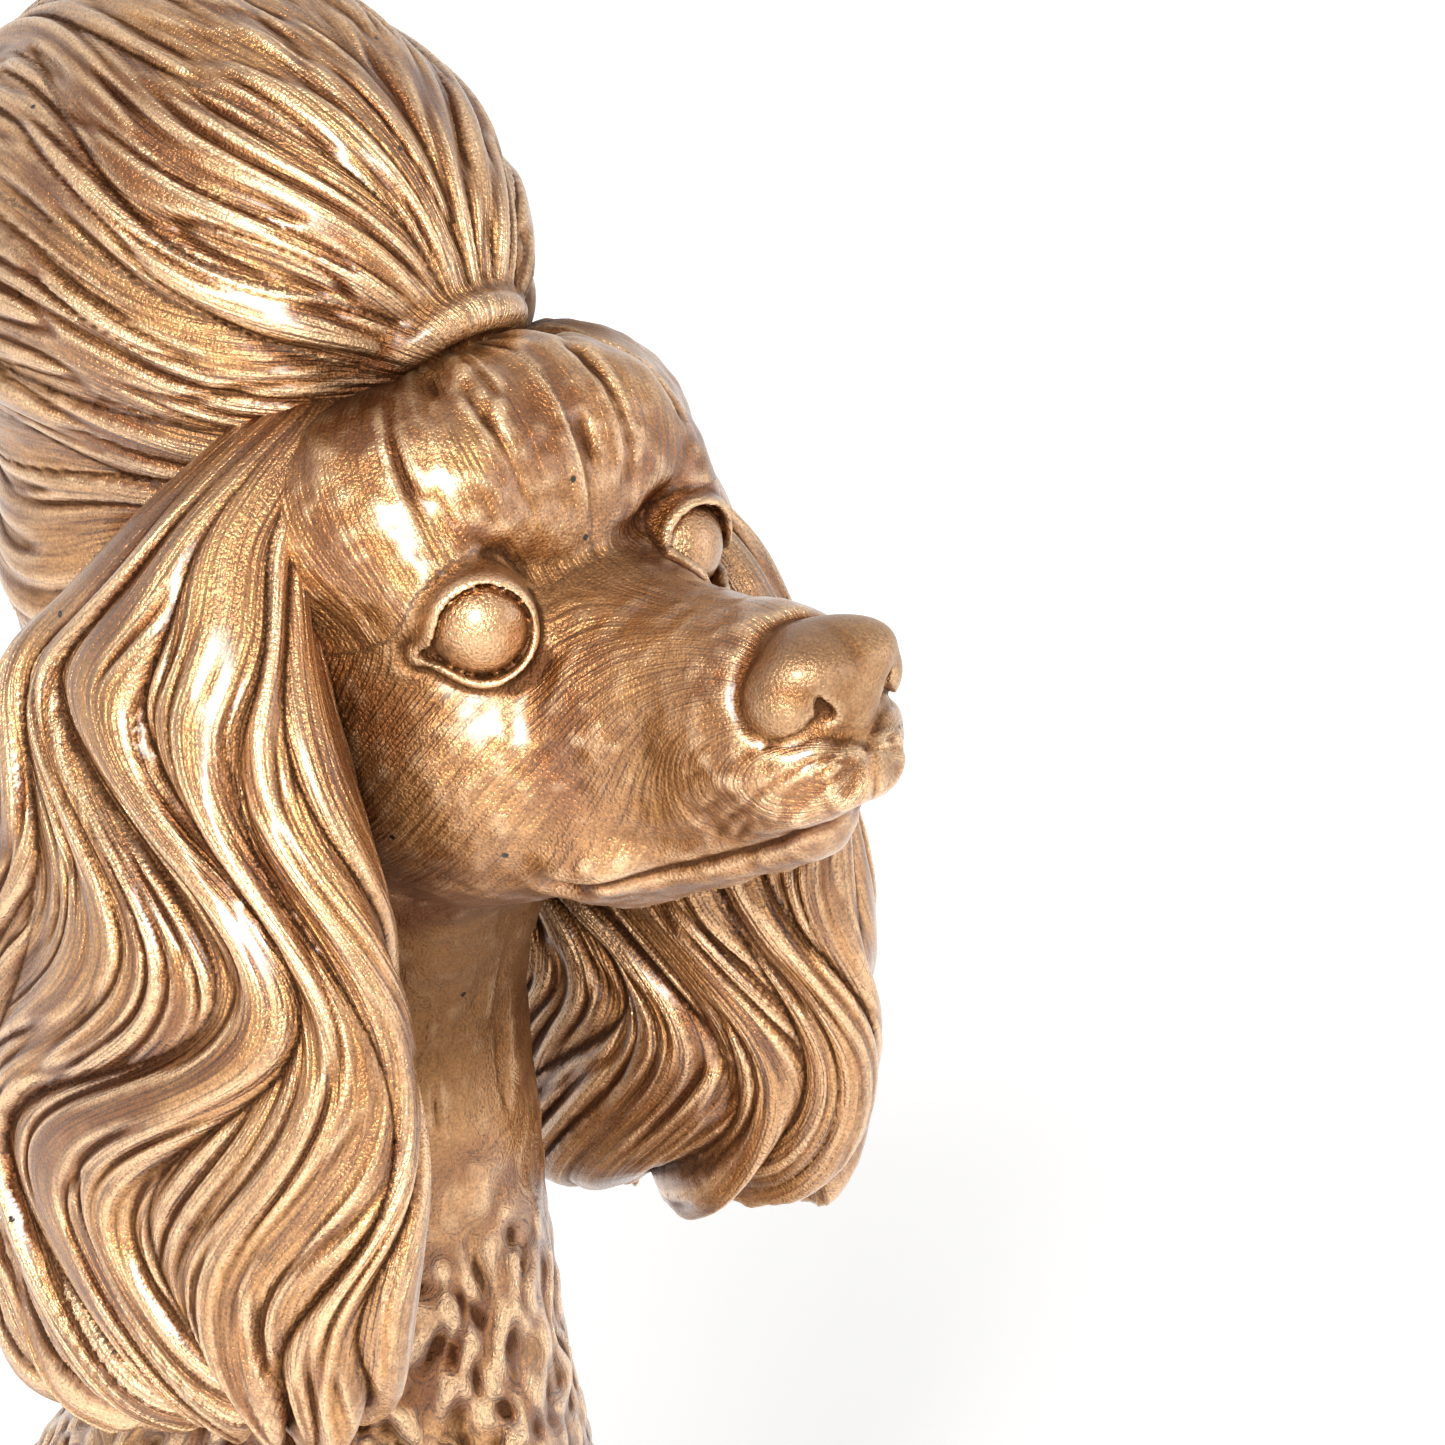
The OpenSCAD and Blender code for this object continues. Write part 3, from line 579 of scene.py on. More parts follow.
def combed(turn, along, lock_mm, hair, seed):
    """Height of combed hair and place across its strands in mm, then the lock's number and its bulge."""
    count = hair["locks"]
    own, place, width = locks(turn * count / (2 * math.pi), along / hair["sway"], count)
    lean = np.where(chance(own) > 0.3, 0.5, -0.5)
    bulge = 4 * place * (1 - place)
    whole = ease(0, 0.3, bulge) * ease(3, 8, lock_mm)
    round_back = (bulge ** 2 / (bulge + 0.06)) ** 0.65
    across = (place - 0.5) * width * lock_mm + LOCKS_APART * own
    broad = streaks(across, along, *STREAK_MM, seed)
    cut = 1 - ease(0, 0.28, np.abs(broad))
    lens = strokes(across, along, *STROKE_MM, seed + 20)
    lock = hair["furrow"] * (round_back * (0.8 + lean * (place - 0.5)) - 0.7)
    return lock + hair["stroke"] * whole * (0.7 * broad - 0.8 * cut - 0.9 * lens), across, own, bulge


print("Strokes along one strand:", strokes(0 * probe, 10 * probe, 2, 10, 1).round(2))

# %% [markdown]
# The rest of the dog wears a woolly coat. Its curls are short, wavy and run downwards over soft
# tufts. Particle hair would be too fine for a cast figure, so the curls are noise that is stretched
# down and bent to and fro.

# %% Woolly coat
CURL_MM = np.array([1.4, 1.4, 3.0])
TUFT_MM = 2.6
BEND_MM = 5
CURL_HIGH = 0.45
TUFT_HIGH = 0.2


def coat(points, seed):
    """Height of the coat in mm, and the strands along its curls."""
    warp = np.stack([clouds(points / BEND_MM, seed + i) for i in range(3)], axis=1)
    bent = points + 2.0 * warp
    curl = clouds(bent / CURL_MM, seed + 3)
    tuft = clouds(points / TUFT_MM, seed + 4)
    strands = np.stack([4 * curl, 2.6 * bent[:, 2], np.full_like(curl, 1.2)], axis=1)
    return CURL_HIGH * curl + TUFT_HIGH * tuft, strands


print("Coat at one point:", coat(np.zeros((1, 3)), 1)[0].round(3))

# %% [markdown]
# ## The head
# The skull and muzzle follow twelve slices from the nape to the lip, and the neck follows five.
# Sculpting with a brush is the usual way in Blender, but slices keep the sizes in the open. Both
# halves of the head are alike, so the distance aside is folded and every lump is made for both sides
# at once. The dog turns and tilts its head by three degrees, so the fold leans by as much.

# %% Skull and neck
HEAD_SLICES = [
    [-33.0, 7.6, 6.0, -7.0], [-29.7, 14.1, 11.3, -16.2], [-22.4, 17.9, 14.4, -24.6],
    [-13.2, 19.0, 13.0, -28.0], [-5.3, 17.5, 7.5, -27.4], [1.0, 14.1, 3.2, -25.2],
    [6.1, 11.2, 1.8, -22.4], [12.2, 9.2, 2.0, -18.2], [19.2, 8.2, 3.1, -15.5],
    [24.0, 7.2, 2.6, -13.2], [27.5, 5.6, 0.5, -11.8], [30.5, 3.0, -4.5, -8.5],
]
NECK_SLICES = [
    [142.0, 0, 14.5, -17, 14.5, 14.5], [146.0, 0, 14.5, -17, 14.5, 14.5], [160.0, 0, 13.6, -17, 13.6, 13.6],
    [172.0, 0, 13.9, -20, 13.9, 13.1], [188.8, 0, 13.1, -23, 11.6, 11.6],
]
HEAD_TURN = math.tan(math.radians(3))
HEAD_TILT = math.tan(math.radians(3))
SKULL_SQUARE = 2.2


def folded(p):
    return np.abs(p[0]), p[1] + HEAD_TURN * p[0], p[2] - HEAD_TILT * p[0]


def skull(p):
    """Each head slice holds the reach before the eyes, the half width, the top and the lowest point."""
    rows = [[reach, 0, half, top - 0.45 * (top - low), 0.55 * (top - low), 0.45 * (top - low)]
            for reach, half, top, low in HEAD_SLICES]
    return form(-EYE_REACH - p[1], p[0], p[2] - EYE_HEIGHT, rows, SKULL_SQUARE)


print("The skull reaches the lip:", skull((0.0, -72.2, 194.0)) < 0)

# %% [markdown]
# The forehead hair is a cap that bulges over the brows. It is hollowed out round the eyes and towards
# the bridge of the nose, or it would hide the eye on the far side. Cheek bones, jaw, upper lip and
# temples are single lumps that run into the skull.

# %% Forehead and face
CAP_CENTRE = at(-8.0, 5.1)
CAP_RADII = np.array([15.7, 9.8, 12.4])
EYE = at(0.2, 0.1, 11.0)
EYE_LINE = math.tan(math.radians(2.6))
SOCKET_R = 5.0
BRIDGE_SIDE = np.array([-4.0, -4.0, 1.0])
BRIDGE_SIDE_R = 4.2


def beside_eye(p):
    """Offsets from the nearer eye: the line through both eyes runs back towards the dog's left."""
    return np.abs(p[0]) - EYE[0], p[1] - EYE_LINE * p[0] - EYE[1], p[2] - EYE[2]


def cap(p):
    q = [np.abs(a - c) / r for a, c, r in zip(p, CAP_CENTRE, CAP_RADII)]
    size = np.sqrt((q[0] ** 3 + q[1] ** 3) ** (2 / 3) + q[2] ** 2)
    over_ear = ellipsoid(p, at(-13, 4.5, 11), (8.5, 9.5, 9.5))
    return join((size - 1) * 10, over_ear, 4)


def face(p, offset):
    cheek_bone = ellipsoid(p, at(-4, -12, 10), (7, 10, 9))
    jaw = limb(p, at(6, -18.5), at(25.0, -12.6), 6.5, 3.2)
    jaw_corner = ellipsoid(p, at(6, -17.2, 6.0), (3.8, 6.5, 5.0))
    upper_lip = ellipsoid(p, at(24.2, -6.9), (7.4, 6.8, 4.9))
    temple = ellipsoid(p, at(-4.5, 2.5, 12.0), (4.8, 6.0, 6.5))
    d = skull(p)
    for lump, softness in ((cheek_bone, 5), (jaw, 1.5), (jaw_corner, 3), (upper_lip, 3), (temple, 3)):
        d = join(d, lump, softness)
    socket = limb(offset, np.zeros(3), BRIDGE_SIDE, SOCKET_R, BRIDGE_SIDE_R)
    return join(d, carve(cap(p), socket, 2.5), 1.2)


print("The cap's widest place is", 2 * CAP_RADII[0], "mm across")

# %% [markdown]
# Each eye is a ball in a round opening with a drawn-out corner. The lids are a larger ball that runs
# into the face and is cut open, with a thin roll along the cut and a crease behind it. The dog looks
# a little to its right, so the two openings turn by different angles.

# %% Eyes
EYE_R = 4.05
LID_R = 4.6
LID_DEEP = 3.0
OPENING_R = 3.95
OPENING_END_R = 5.4
OPENING_DEEP = 6.0
CORNER_START = np.array([-1.8, -0.7, 0.0])
CORNER_END = np.array([-5.0, -2.3, 0.0])
EYES_APART = math.radians(12)
LOOK_ASIDE = math.radians(18)


def ball(offset, radius):
    return ellipsoid(offset, (0, 0, 0), (radius, radius, radius))


def eye(d, offset, across):
    turn = EYES_APART - LOOK_ASIDE * np.sign(across)
    inward = -offset[0] * np.cos(turn) - offset[1] * np.sin(turn)
    outward = offset[0] * np.sin(turn) - offset[1] * np.cos(turn)
    corner = limb((inward, offset[2], 0.0), CORNER_START, CORNER_END, 2.5, 0.3)
    opening = np.sqrt((inward + 0.3) ** 2 + offset[2] ** 2) - OPENING_R
    opening = join(np.maximum(opening, ball(offset, OPENING_END_R)), corner, 0.8)
    opening = np.maximum(opening, np.abs(outward - OPENING_DEEP / 2) - OPENING_DEEP / 2)
    d = join(d, ball(offset, LID_R), 1.8)
    roll = np.sqrt((opening - 0.25) ** 2 + d ** 2) - 0.32
    crease = np.sqrt((opening - 1.0) ** 2 + (d - 0.1) ** 2) - 0.28
    d = carve(d, np.maximum(opening, -d - LID_DEEP), 0.3)
    d = join(np.minimum(d, ball(offset, EYE_R)), roll, 0.4)
    return carve(d, crease, 0.4)


print("Eyes are", 2 * EYE[0], "mm apart and", 2 * EYE_R, "mm across")

# %% [markdown]
# The nose is a smooth pad of four lumps. A nostril starts as a hole and ends as a slit that sweeps
# back along the wing, so it is cut with a chain of limbs that get thinner.

# %% Nose
NOSTRIL = [at(29.0, -0.6, 3.5), at(29.4, -1.9, 3.0), at(28.7, -2.8, 4.2), at(26.4, -3.9, 5.9)]
NOSTRIL_R = [0.6, 0.85, 0.6, 0.4]


def chain(p, points, radii):
    fields = [limb(p, a, b, ra, rb) for a, b, ra, rb in zip(points, points[1:], radii, radii[1:])]
    total = fields[0]
    for field in fields[1:]:
        total = np.minimum(total, field)
    return total


def nose(p):
    pad = ellipsoid(p, at(25.8, -0.9), (5.6, 4.8, 4.6))
    top = ellipsoid(p, at(26.9, 1.0, 2.3), (3.6, 3.1, 2.4))
    wing = ellipsoid(p, at(26.2, -1.2, 4.2), (2.6, 3.2, 3.2))
    front = ellipsoid(p, at(28.0, -3.4), (2.3, 2.5, 2.5))
    d = join(pad, top, 1.0)
    d = join(d, wing, 0.7)
    d = join(d, front, 1.0)
    return carve(d, chain(p, NOSTRIL, NOSTRIL_R), 0.3)


print("A nostril has", len(NOSTRIL), "points")

# %% [markdown]
# Now the lumps come together: face, eyes, nose and neck. A groove runs round the nose. Head and body
# both reach a little past the seam between them and draw in there, so that the seam stays a fine line
# under the coat.

# %% Head field
LAP = 2.0
LAP_SLOPE = 0.08
NOSE_GROOVE = 0.45


def head_field(grid):
    p = folded(grid)
    offset = beside_eye(grid)
    d = eye(face(p, offset), offset, grid[0])
    pad = nose(p)
    d = d + NOSE_GROOVE * np.exp(-((pad - 0.3) / 0.6) ** 2)
    d = join(d, pad, 0.25)
    d = join(d, form(grid[2], grid[0], grid[1], NECK_SLICES), 4)
    below = SEAM_HEIGHT - grid[2]
    return np.maximum(d + LAP_SLOPE * np.maximum(below, 0), below - LAP)


print("Head and body share", 2 * LAP, "mm at the seam")

# %% [markdown]
# The forehead's strands run from the hair tie down to the brows, like meridians from a pole. Below
# the nose and at the throat short strokes are cut, and the chest wears the woolly coat. All of them
# are pushed in or out along the normals, as the steps of the grid are too coarse for them.

# %% Strokes on the head
TIE = at(-15.5, 14.5)
COAT_SEED = 71


def around(points, centre, radii, pole):
    """Turn round the line from a centre to a pole, and the angle away from that pole, on an ellipsoid."""
    q = (points - centre) / radii
    q /= np.linalg.norm(q, axis=1)[:, None]
    axis = (pole - centre) / radii
    axis = axis / np.linalg.norm(axis)
    side = np.array([1.0, 0.0, 0.0])
    up = np.cross(axis, side)
    turn = np.arctan2(q @ side, q @ up)
    return turn, np.arccos(np.clip(q @ axis, -1, 1))


def forehead_hair(points):
    """Height of the forehead's strands in mm, then the places across and along them."""
    turn, fall = around(points, CAP_CENTRE, CAP_RADII, TIE)
    across = turn * 15
    along = fall * 13
    waves = 0.5 * streaks(across, along, 3.2, 12, 8) - 0.55 * strokes(across, along, 1.7, 7, 9)
    return ease(2.5, 1.5, fall) * waves, across, along


def chest_wool(points):
    """Share of the woolly coat: the throat is clipped smooth and the chest isn't."""
    return ease(153, 139, points[:, 2] + 5 * clouds(points / 6, 77))


def throat_hair(points):
    x, y, z = points.T
    across = 14 * np.arctan2(x, -17 - y) + 2 * clouds(points / 9, 34)
    return -0.4 * strokes(across, z, 1.9, 9, 35) * ease(174, 166, z)


print("Wool on the chest and at the throat:", chest_wool(np.array([[0, -30, 130], [0, -30, 170.0]])))

# %% [markdown]
# The mouth is a cut line with a rounded lip above it and a pit at its corner. Soft hollows lie before
# the eye and in the cheek. Each is a bell curve in reach and lift, which a modelling tool would press
# in with one touch.

# %% Mouth and hollows
MOUTH = np.array([[6.0, -21.0], [8.0, -20.6], [14.0, -18.6], [21.4, -15.2], [28.2, -11.6], [31.0, -10.0]])


def mouth_lines(reach, gap):
    lips = 0.35 * np.exp(-((gap - 1.7) / 1.3) ** 2) - 0.55 * np.exp(-(gap / 0.45) ** 2)
    return ease(6, 8, reach) * lips


def mouth_corner(reach, lift):
    return -1.3 * np.exp(-((reach - 7.6) ** 2 + 3 * (lift + 20.6) ** 2) / 3.0)


def cheek_hollow(reach, lift, aside):
    return np.exp(-((reach - 16.0) / 2.6) ** 2 - ((lift + 8.0) / 5.0) ** 2) * ease(5, 7, aside)


def tear_hollow(reach, lift, aside):
    return np.exp(-((reach - 6.2) / 1.8) ** 2 - ((lift + 3.5) / 3.0) ** 2) * ease(5, 7, aside)


def skin_marks(points, reach, lift, aside, gap):
    """The line under the nose, the fringe on the upper lip and the uneven hand of the modeller, in mm."""
    middle = -0.12 * np.exp(-(points[:, 0] / 0.5) ** 2) * ease(29, 30.5, reach) * ease(-3, -4.5, lift)
    on_lip = ease(18, 22, reach) * ease(-2.5, -4, lift) * ease(0.5, 2.0, gap)
    fringe = -0.17 * strokes(9 * np.arctan2(aside, lift + 5) + reach, lift, 0.9, 3, 14) * on_lip
    uneven = 0.18 * clouds(points / 2.6, 5) + 0.12 * clouds(points / 1.3, 6)
    return middle + fringe + uneven * ease(147, 157, points[:, 2])


print("The mouth is", np.ptp(MOUTH[:, 0]), "mm long")

# %% [markdown]
# One function puts the relief of the head together. It also lays out the strands for the paint, which
# run along the forehead's hair, round the muzzle and down the chest, and the painted shade behind the
# ears, under the jaw, at the tie, under the brow, in the cheek and round the nose.

# %% Head piece
PINCH = at(-15.5, 14.0, 8)
NECK_TOP = 170


def head_shade_pools(points, half, reach, lift):
    aside = half[0]
    # All six are painted shade: behind the ear, under the jaw, at the tie, under the brow, in the cheek and
    # round the nose.
    behind_ear = 0.65 * ease(7, -4, reach) * ease(5, -6, lift) * ease(10, 15, aside)
    throat = 0.7 * ease(-24, -29, lift) * ease(146, 160, points[:, 2])
    at_tie = ease(12, 2, np.linalg.norm(half.T - PINCH, axis=1))
    under_brow = 0.45 * np.exp(-((reach - 3.5) ** 2 + (lift - 1.5) ** 2) / 6) * ease(10, 6, aside)
    in_cheek = 0.35 * cheek_hollow(reach, lift, aside)
    on_nose = 0.35 * ease(0.8, 0.2, nose(half))
    return np.maximum.reduce([behind_ear, throat, at_tie, under_brow, in_cheek, on_nose])


def head_detail(points, normals):
    z = points[:, 2]
    half = np.stack(folded(points.T))
    aside = half[0]
    reach = -EYE_REACH - half[1]
    lift = half[2] - EYE_HEIGHT
    gap = lift - np.interp(reach, MOUTH[:, 0], MOUTH[:, 1])
    off_eye = ease(4.7, 6.1, np.linalg.norm(beside_eye(points.T), axis=0))
    furry = off_eye * ease(0.2, 0.8, nose(half))
    on_cap = ease(2.0, 0.5, cap(half)) * off_eye
    hair, hair_across, hair_along = forehead_hair(points)
    wool, wool_strands = coat(points, COAT_SEED)
    woolly = chest_wool(points)

    height = on_cap * hair + mouth_lines(reach, gap) + mouth_corner(reach, lift)
    hollows = 0.9 * cheek_hollow(reach, lift, aside) + 0.6 * tear_hollow(reach, lift, aside)
    height += (skin_marks(points, reach, lift, aside, gap) - hollows) * furry
    height += wool * woolly + throat_hair(points) * (1 - woolly)

    round_muzzle = np.arctan2(aside, lift + 5)
    flow = 9 * round_muzzle + 1.3 * np.sin(round_muzzle) ** 2 * (reach - 10)
    strands = np.stack([flow, reach + lift, 0.6 * furry * ease(0, 5, z - NECK_TOP)], axis=1)
    hair_strands = np.stack([hair_across, hair_along, 0.5 * off_eye], axis=1)
    wool_strands[:, 2] *= (0.2 + 0.8 * woolly) * ease(0, 5, NECK_TOP - z)
    strands = np.where(on_cap[:, None] > 0.5, hair_strands, strands)
    strands = np.where(z[:, None] < NECK_TOP, wool_strands, strands)
    return normals * height[:, None], strands, head_shade_pools(points, half, reach, lift)


make_piece("head", "head_shell", head_field, (-21, -78, 143), (21, 1, 220), 0.36, head_detail)

# %% [markdown]
# ## Topknot
# The long hair on top of the head is gathered in a tie and bulges up and back over the skull. All its
# locks start at the tie, so they run like meridians from a pole that lies there, and swirl a little
# where they meet again at the back. A UV sphere has the same meridians, but it would pinch its faces
# at both poles.

# %% Topknot piece
KNOT_CENTRE = at(-39, 17)
KNOT_RADII = np.array([21.0, 28.0, 24.0])
NAPE_CENTRE = at(-42, -5)
NAPE_RADII = np.array([18.0, 16.0, 21.0])
TIE_AXIS = np.array([0.0, 0.707, 0.707])
TIE_R = 6.8
TIE_BAND_R = 1.6
WHORL = 1.1
TOPKNOT_HAIR = {"locks": 14, "sway": 70.0, "furrow": 1.1, "stroke": 0.5}
KNOT_MM = 26


def topknot_field(p):
    d = ellipsoid(p, KNOT_CENTRE, KNOT_RADII)
    d = join(d, ellipsoid(p, NAPE_CENTRE, NAPE_RADII), 4)
    return join(d, ring(p, TIE, TIE_AXIS, TIE_R, TIE_BAND_R), 0.8)


def topknot_wave(fall, turn):
    return 0.126 * np.sin(2.6 * fall + 1.31 * np.sin(2 * turn)) * np.sin(fall)


def pinch_shade(points):
    """Painted shade in the pinch beside the hair tie, for points that are mirrored to the dog's left."""
    return 0.85 * ease(10, 2, np.linalg.norm(points - PINCH, axis=1))


def topknot_detail(points, normals):
    turn, fall = around(points, KNOT_CENTRE, KNOT_RADII, TIE)
    start = unwave(turn, lambda t: topknot_wave(fall, t)) + WHORL * ease(2.2, 3.14, fall) ** 2
    along = KNOT_MM * fall
    lock_mm = 11 * np.sqrt(np.maximum(np.sin(fall), 0.05))
    height, across, _, _ = combed(start, along, lock_mm, TOPKNOT_HAIR, 21)
    on_tie = ease(1.0, 0.4, np.abs(ring(points.T, TIE, TIE_AXIS, TIE_R, TIE_BAND_R)))
    height = height * ease(0.15, 0.5, fall) * ease(3.1, 2.9, fall) * (1 - 0.8 * on_tie)
    strands = np.stack([across, along, np.ones_like(across)], axis=1)
    mirrored = np.stack([np.abs(points[:, 0]), points[:, 1], points[:, 2]], axis=1)
    return normals * height[:, None], strands, pinch_shade(mirrored)


make_piece("topknot", "topknot", topknot_field, (-24, -36, 170), (24, 34, 246), 0.34, topknot_detail)

# %% [markdown]
# ## Ears
# The ears hang as heavy, flat bags of long hair. Their locks wave from side to side on the way down
# and end at different heights, which gives the lower edge its scallops. Curves with a bevel would
# give separate ropes of hair, but here the locks lie close, so each ear is one form with locks on it.
# The right ear swings further forward.

# %% Ear pieces
EAR_ROOT = EYE_HEIGHT + 9
EAR_LEN = 74.0
EAR_ROWS = [
    [-0.02, 1.00, 0.06, 0.12, 1.00], [0.02, 1.00, 0.26, 0.30, 1.00], [0.09, 1.00, 0.45, 0.43, 1.00],
    [0.24, 1.00, 0.52, 0.49, 1.00], [0.42, 0.98, 0.53, 0.49, 1.00], [0.62, 0.95, 0.49, 0.43, 1.03],
    [0.76, 0.91, 0.45, 0.35, 1.07], [0.86, 0.85, 0.40, 0.23, 1.03], [0.94, 0.74, 0.36, 0.15, 1.01],
    [1.00, 0.58, 0.30, 0.11, 0.97], [1.05, 0.42, 0.20, 0.08, 0.93], [1.08, 0.33, 0.04, 0.03, 0.93],
]
EAR_OUT = 26.0
EAR_BACK = 19.0
EAR_THICK = 18.0
EAR_WIDE = 51.0
EAR_SPREAD = 2.0
EAR_SCALLOP = 4.5
EAR_SAG = 0.2
EAR_LIFT = 2.5
EAR_HAIR = {"locks": 11, "sway": 44.0, "furrow": 1.9, "stroke": 0.55}


def ear_wave(down, turn):
    return 0.366 * np.cos(2 * math.pi * (down - 34) / 44 + 0.91 * np.sin(turn)) * ease(2, 16, down)


def ear_slices(side, swing):
    """Each ear row holds shares of height, place aside, thickness, width and place back."""
    slices = []
    for share, aside, thick, wide, back in EAR_ROWS:
        hang = (1 - share) ** 2
        slices.append([EAR_ROOT - (1 - share) * EAR_LEN,
                       side * (EAR_OUT * aside + EAR_SPREAD * hang), EAR_THICK * thick,
                       -EYE_REACH + EAR_BACK * back - swing * hang, EAR_WIDE * wide, EAR_WIDE * wide])
    return slices


def ear_piece(name, side, swing, seed):
    slices = ear_slices(side, swing)

    def ear_field(p):
        return form(p[2], p[0], p[1], slices)

    def ear_detail(points, normals):
        x, y, z = points.T
        curve = faired(slices)
        mid_x, half_x, mid_y, half_y = (np.interp(z, curve[:, 0], curve[:, i]) for i in range(1, 5))
        turn = np.arctan2((y - mid_y) / half_y, side * (x - mid_x) / half_x)
        down = EAR_ROOT - z
        start = unwave(turn, lambda t: ear_wave(down, t))
        lock_mm = np.hypot(half_y * np.cos(turn), half_x * np.sin(turn)) * 2 * math.pi / EAR_HAIR["locks"]
        height, across, own, bulge = combed(start, down, lock_mm, EAR_HAIR, seed)
        underside = ease(-0.75, -0.95, normals[:, 2])
        height = height * ease(-7, 6, down) * ease(0, 9, lock_mm) * (1 - underside)
        sag = EAR_SAG * (y - mid_y + half_y) - EAR_LIFT
        scallop = EAR_SCALLOP * bulge * (0.4 + 0.6 * chance(own)) * (1 - underside)
        drop = (scallop + sag) * ease(0.78 * EAR_LEN, 0.97 * EAR_LEN, down)
        strands = np.stack([across, down, np.ones_like(across)], axis=1)
        push = normals * height[:, None] + np.outer(drop, [0, 0, -1.0])
        return push, strands, pinch_shade(points * [side, 1, 1])

    middle = side * EAR_OUT
    make_piece(name, name, ear_field, (middle - 20, -56, 130), (middle + 20, 8, 217), 0.3, ear_detail)


ear_piece("left_ear", 1, 0.0, 41)
ear_piece("right_ear", -1, 4.5, 57)

# %% [markdown]
# ## Body
# The trunk is one casting from the seat to the throat, covered in tight curls. Underneath it is cut
# flat, with a round recess for the felt pad and a deeper one for the plug. It follows slices from the
# seat up, as the head does.

# %% Torso piece
TORSO_ROWS = [
    [0.00, 32.2, -22.0, 53.0], [0.11, 35.0, -27.2, 56.0], [0.26, 34.3, -32.0, 52.0],
    [0.42, 32.0, -37.2, 44.0], [0.58, 29.0, -40.0, 33.0], [0.72, 24.4, -38.0, 19.0],
    [0.86, 18.0, -34.0, 5.0], [1.00, 14.5, -31.5, -2.5], [1.03, 14.5, -32.5, -3.5],
]
SEAT_MIDDLE = 15
SPINE_LEAN = 32
PAD_R = 28.2
PAD_DEEP = 1.5
PLUG_R = 21.2
PLUG_DEEP = 6.6


def torso_field(p):
    """Each torso row holds the share of the seam's height, the half width, the front and the back."""
    slices = []
    for share, half, front, back in TORSO_ROWS:
        middle = SEAT_MIDDLE - SPINE_LEAN * share
        slices.append([SEAM_HEIGHT * share, 0, half, middle, middle - front, back - middle])
    d = form(p[2], p[0], p[1], slices)
    reach = np.sqrt(p[0] ** 2 + (p[1] - SEAT_MIDDLE) ** 2)
    pad = np.maximum(reach - PAD_R, p[2] - PAD_DEEP)
    plug = np.maximum(reach - PLUG_R, p[2] - PLUG_DEEP)
    d = np.maximum(d, -np.minimum(pad, plug))
    above = p[2] - SEAM_HEIGHT
    return np.maximum(d + LAP_SLOPE * np.maximum(above, 0), above - LAP)


def torso_detail(points, normals):
    height, strands = coat(points, COAT_SEED)
    share = chest_wool(points) * ease(0.8, 2.5, points[:, 2])
    strands[:, 2] *= 0.2 + 0.8 * share
    return normals * (height * share)[:, None], strands, np.zeros_like(share)


make_piece("torso", "torso_shell", torso_field, (-38, -43, -1), (38, 60, 150), 0.58, torso_detail)

# %% [markdown]
# ## Legs and tail
# The forelegs are columns that stand under the chest, and the hind legs are folded thighs with a long
# foot in front. Paws are smooth, with four toes that run into each other, so each toe is a short limb
# with a small softness.

# %% Paws
TOE_STEPS = (-1.5, -0.5, 0.5, 1.5)


def paw(p, middle_x, heel_y, length):
    d = ellipsoid(p, (middle_x, heel_y - 0.3 * length, 0), (9, 0.42 * length, 12))
    for step in TOE_STEPS:
        tip = heel_y - (0.66 - 0.05 * abs(step)) * length
        knuckle = np.array([middle_x + 4.2 * step, tip + 8, 5.5])
        toe_end = np.array([middle_x + 4.6 * step, tip, 3.8])
        d = join(d, limb(p, knuckle, toe_end, 3.2, 3.4), 0.6)
    return d


print("A paw has", len(TOE_STEPS), "toes")

# %% [markdown]
# Each leg is one field, cut off at the ground. The coat fades out above the foreleg's paw and along
# the hind foot, where the hair of a clipped poodle is short.

# %% Legs
FORELEG_OUT = 15.5
FORELEG_R = 11
FORELEG_FOOT = 8.75
FORELEG_LEN = 85.25
FORELEG_ROWS = [
    [0, -35, 0.70], [0.07, -35, 0.96], [0.28, -34, 1.0],
    [0.60, -32, 1.08], [0.85, -29, 1.06], [1, -26, 0.5],
]
THIGH_OUT = 30
HIND_FOOT_OUT = 37.6


def foreleg_piece(name, side, seed):
    """Each foreleg row holds the share of the length, the middle along Y and the share of the radius."""
    middle = side * FORELEG_OUT
    slices = []
    for share, y, wide in FORELEG_ROWS:
        radius = FORELEG_R * wide
        slices.append([FORELEG_FOOT + FORELEG_LEN * share, middle, radius, y, radius, radius])

    def leg_field(p):
        d = form(p[2], p[0], p[1], slices)
        d = join(d, paw(p, middle, -33, 30), 2.0)
        return np.maximum(d, -p[2])

    def leg_detail(points, normals):
        height, strands = coat(points, seed)
        share = ease(18, 26, points[:, 2])
        strands[:, 2] *= share
        return normals * (height * share)[:, None], strands, np.zeros_like(share)

    make_piece(name, name, leg_field, (middle - 14, -62, -1), (middle + 14, -10, 97), 0.5, leg_detail)


def hind_leg_piece(name, side, seed):
    foot = side * HIND_FOOT_OUT

    def leg_field(p):
        d = ellipsoid(p, (side * THIGH_OUT, 21, 32.6), (16, 31, 34))
        d = join(d, limb(p, np.array([foot, 16.8, 7.5]), np.array([foot, -12, 6.2]), 8.5, 7.4), 2.0)
        d = join(d, paw(p, foot, -8, 38), 1.5)
        return np.maximum(d, -p[2])

    def leg_detail(points, normals):
        y, z = points[:, 1], points[:, 2]
        height, strands = coat(points, seed)
        share = 1 - np.maximum(ease(17, 12, z) * ease(12, 2, y), ease(2, 0.8, z))
        strands[:, 2] *= share
        return normals * (height * share)[:, None], strands, np.zeros_like(share)

    make_piece(name, name, leg_field, (side * 31 - 20, -42, -1), (side * 31 + 20, 55, 70), 0.6, leg_detail)


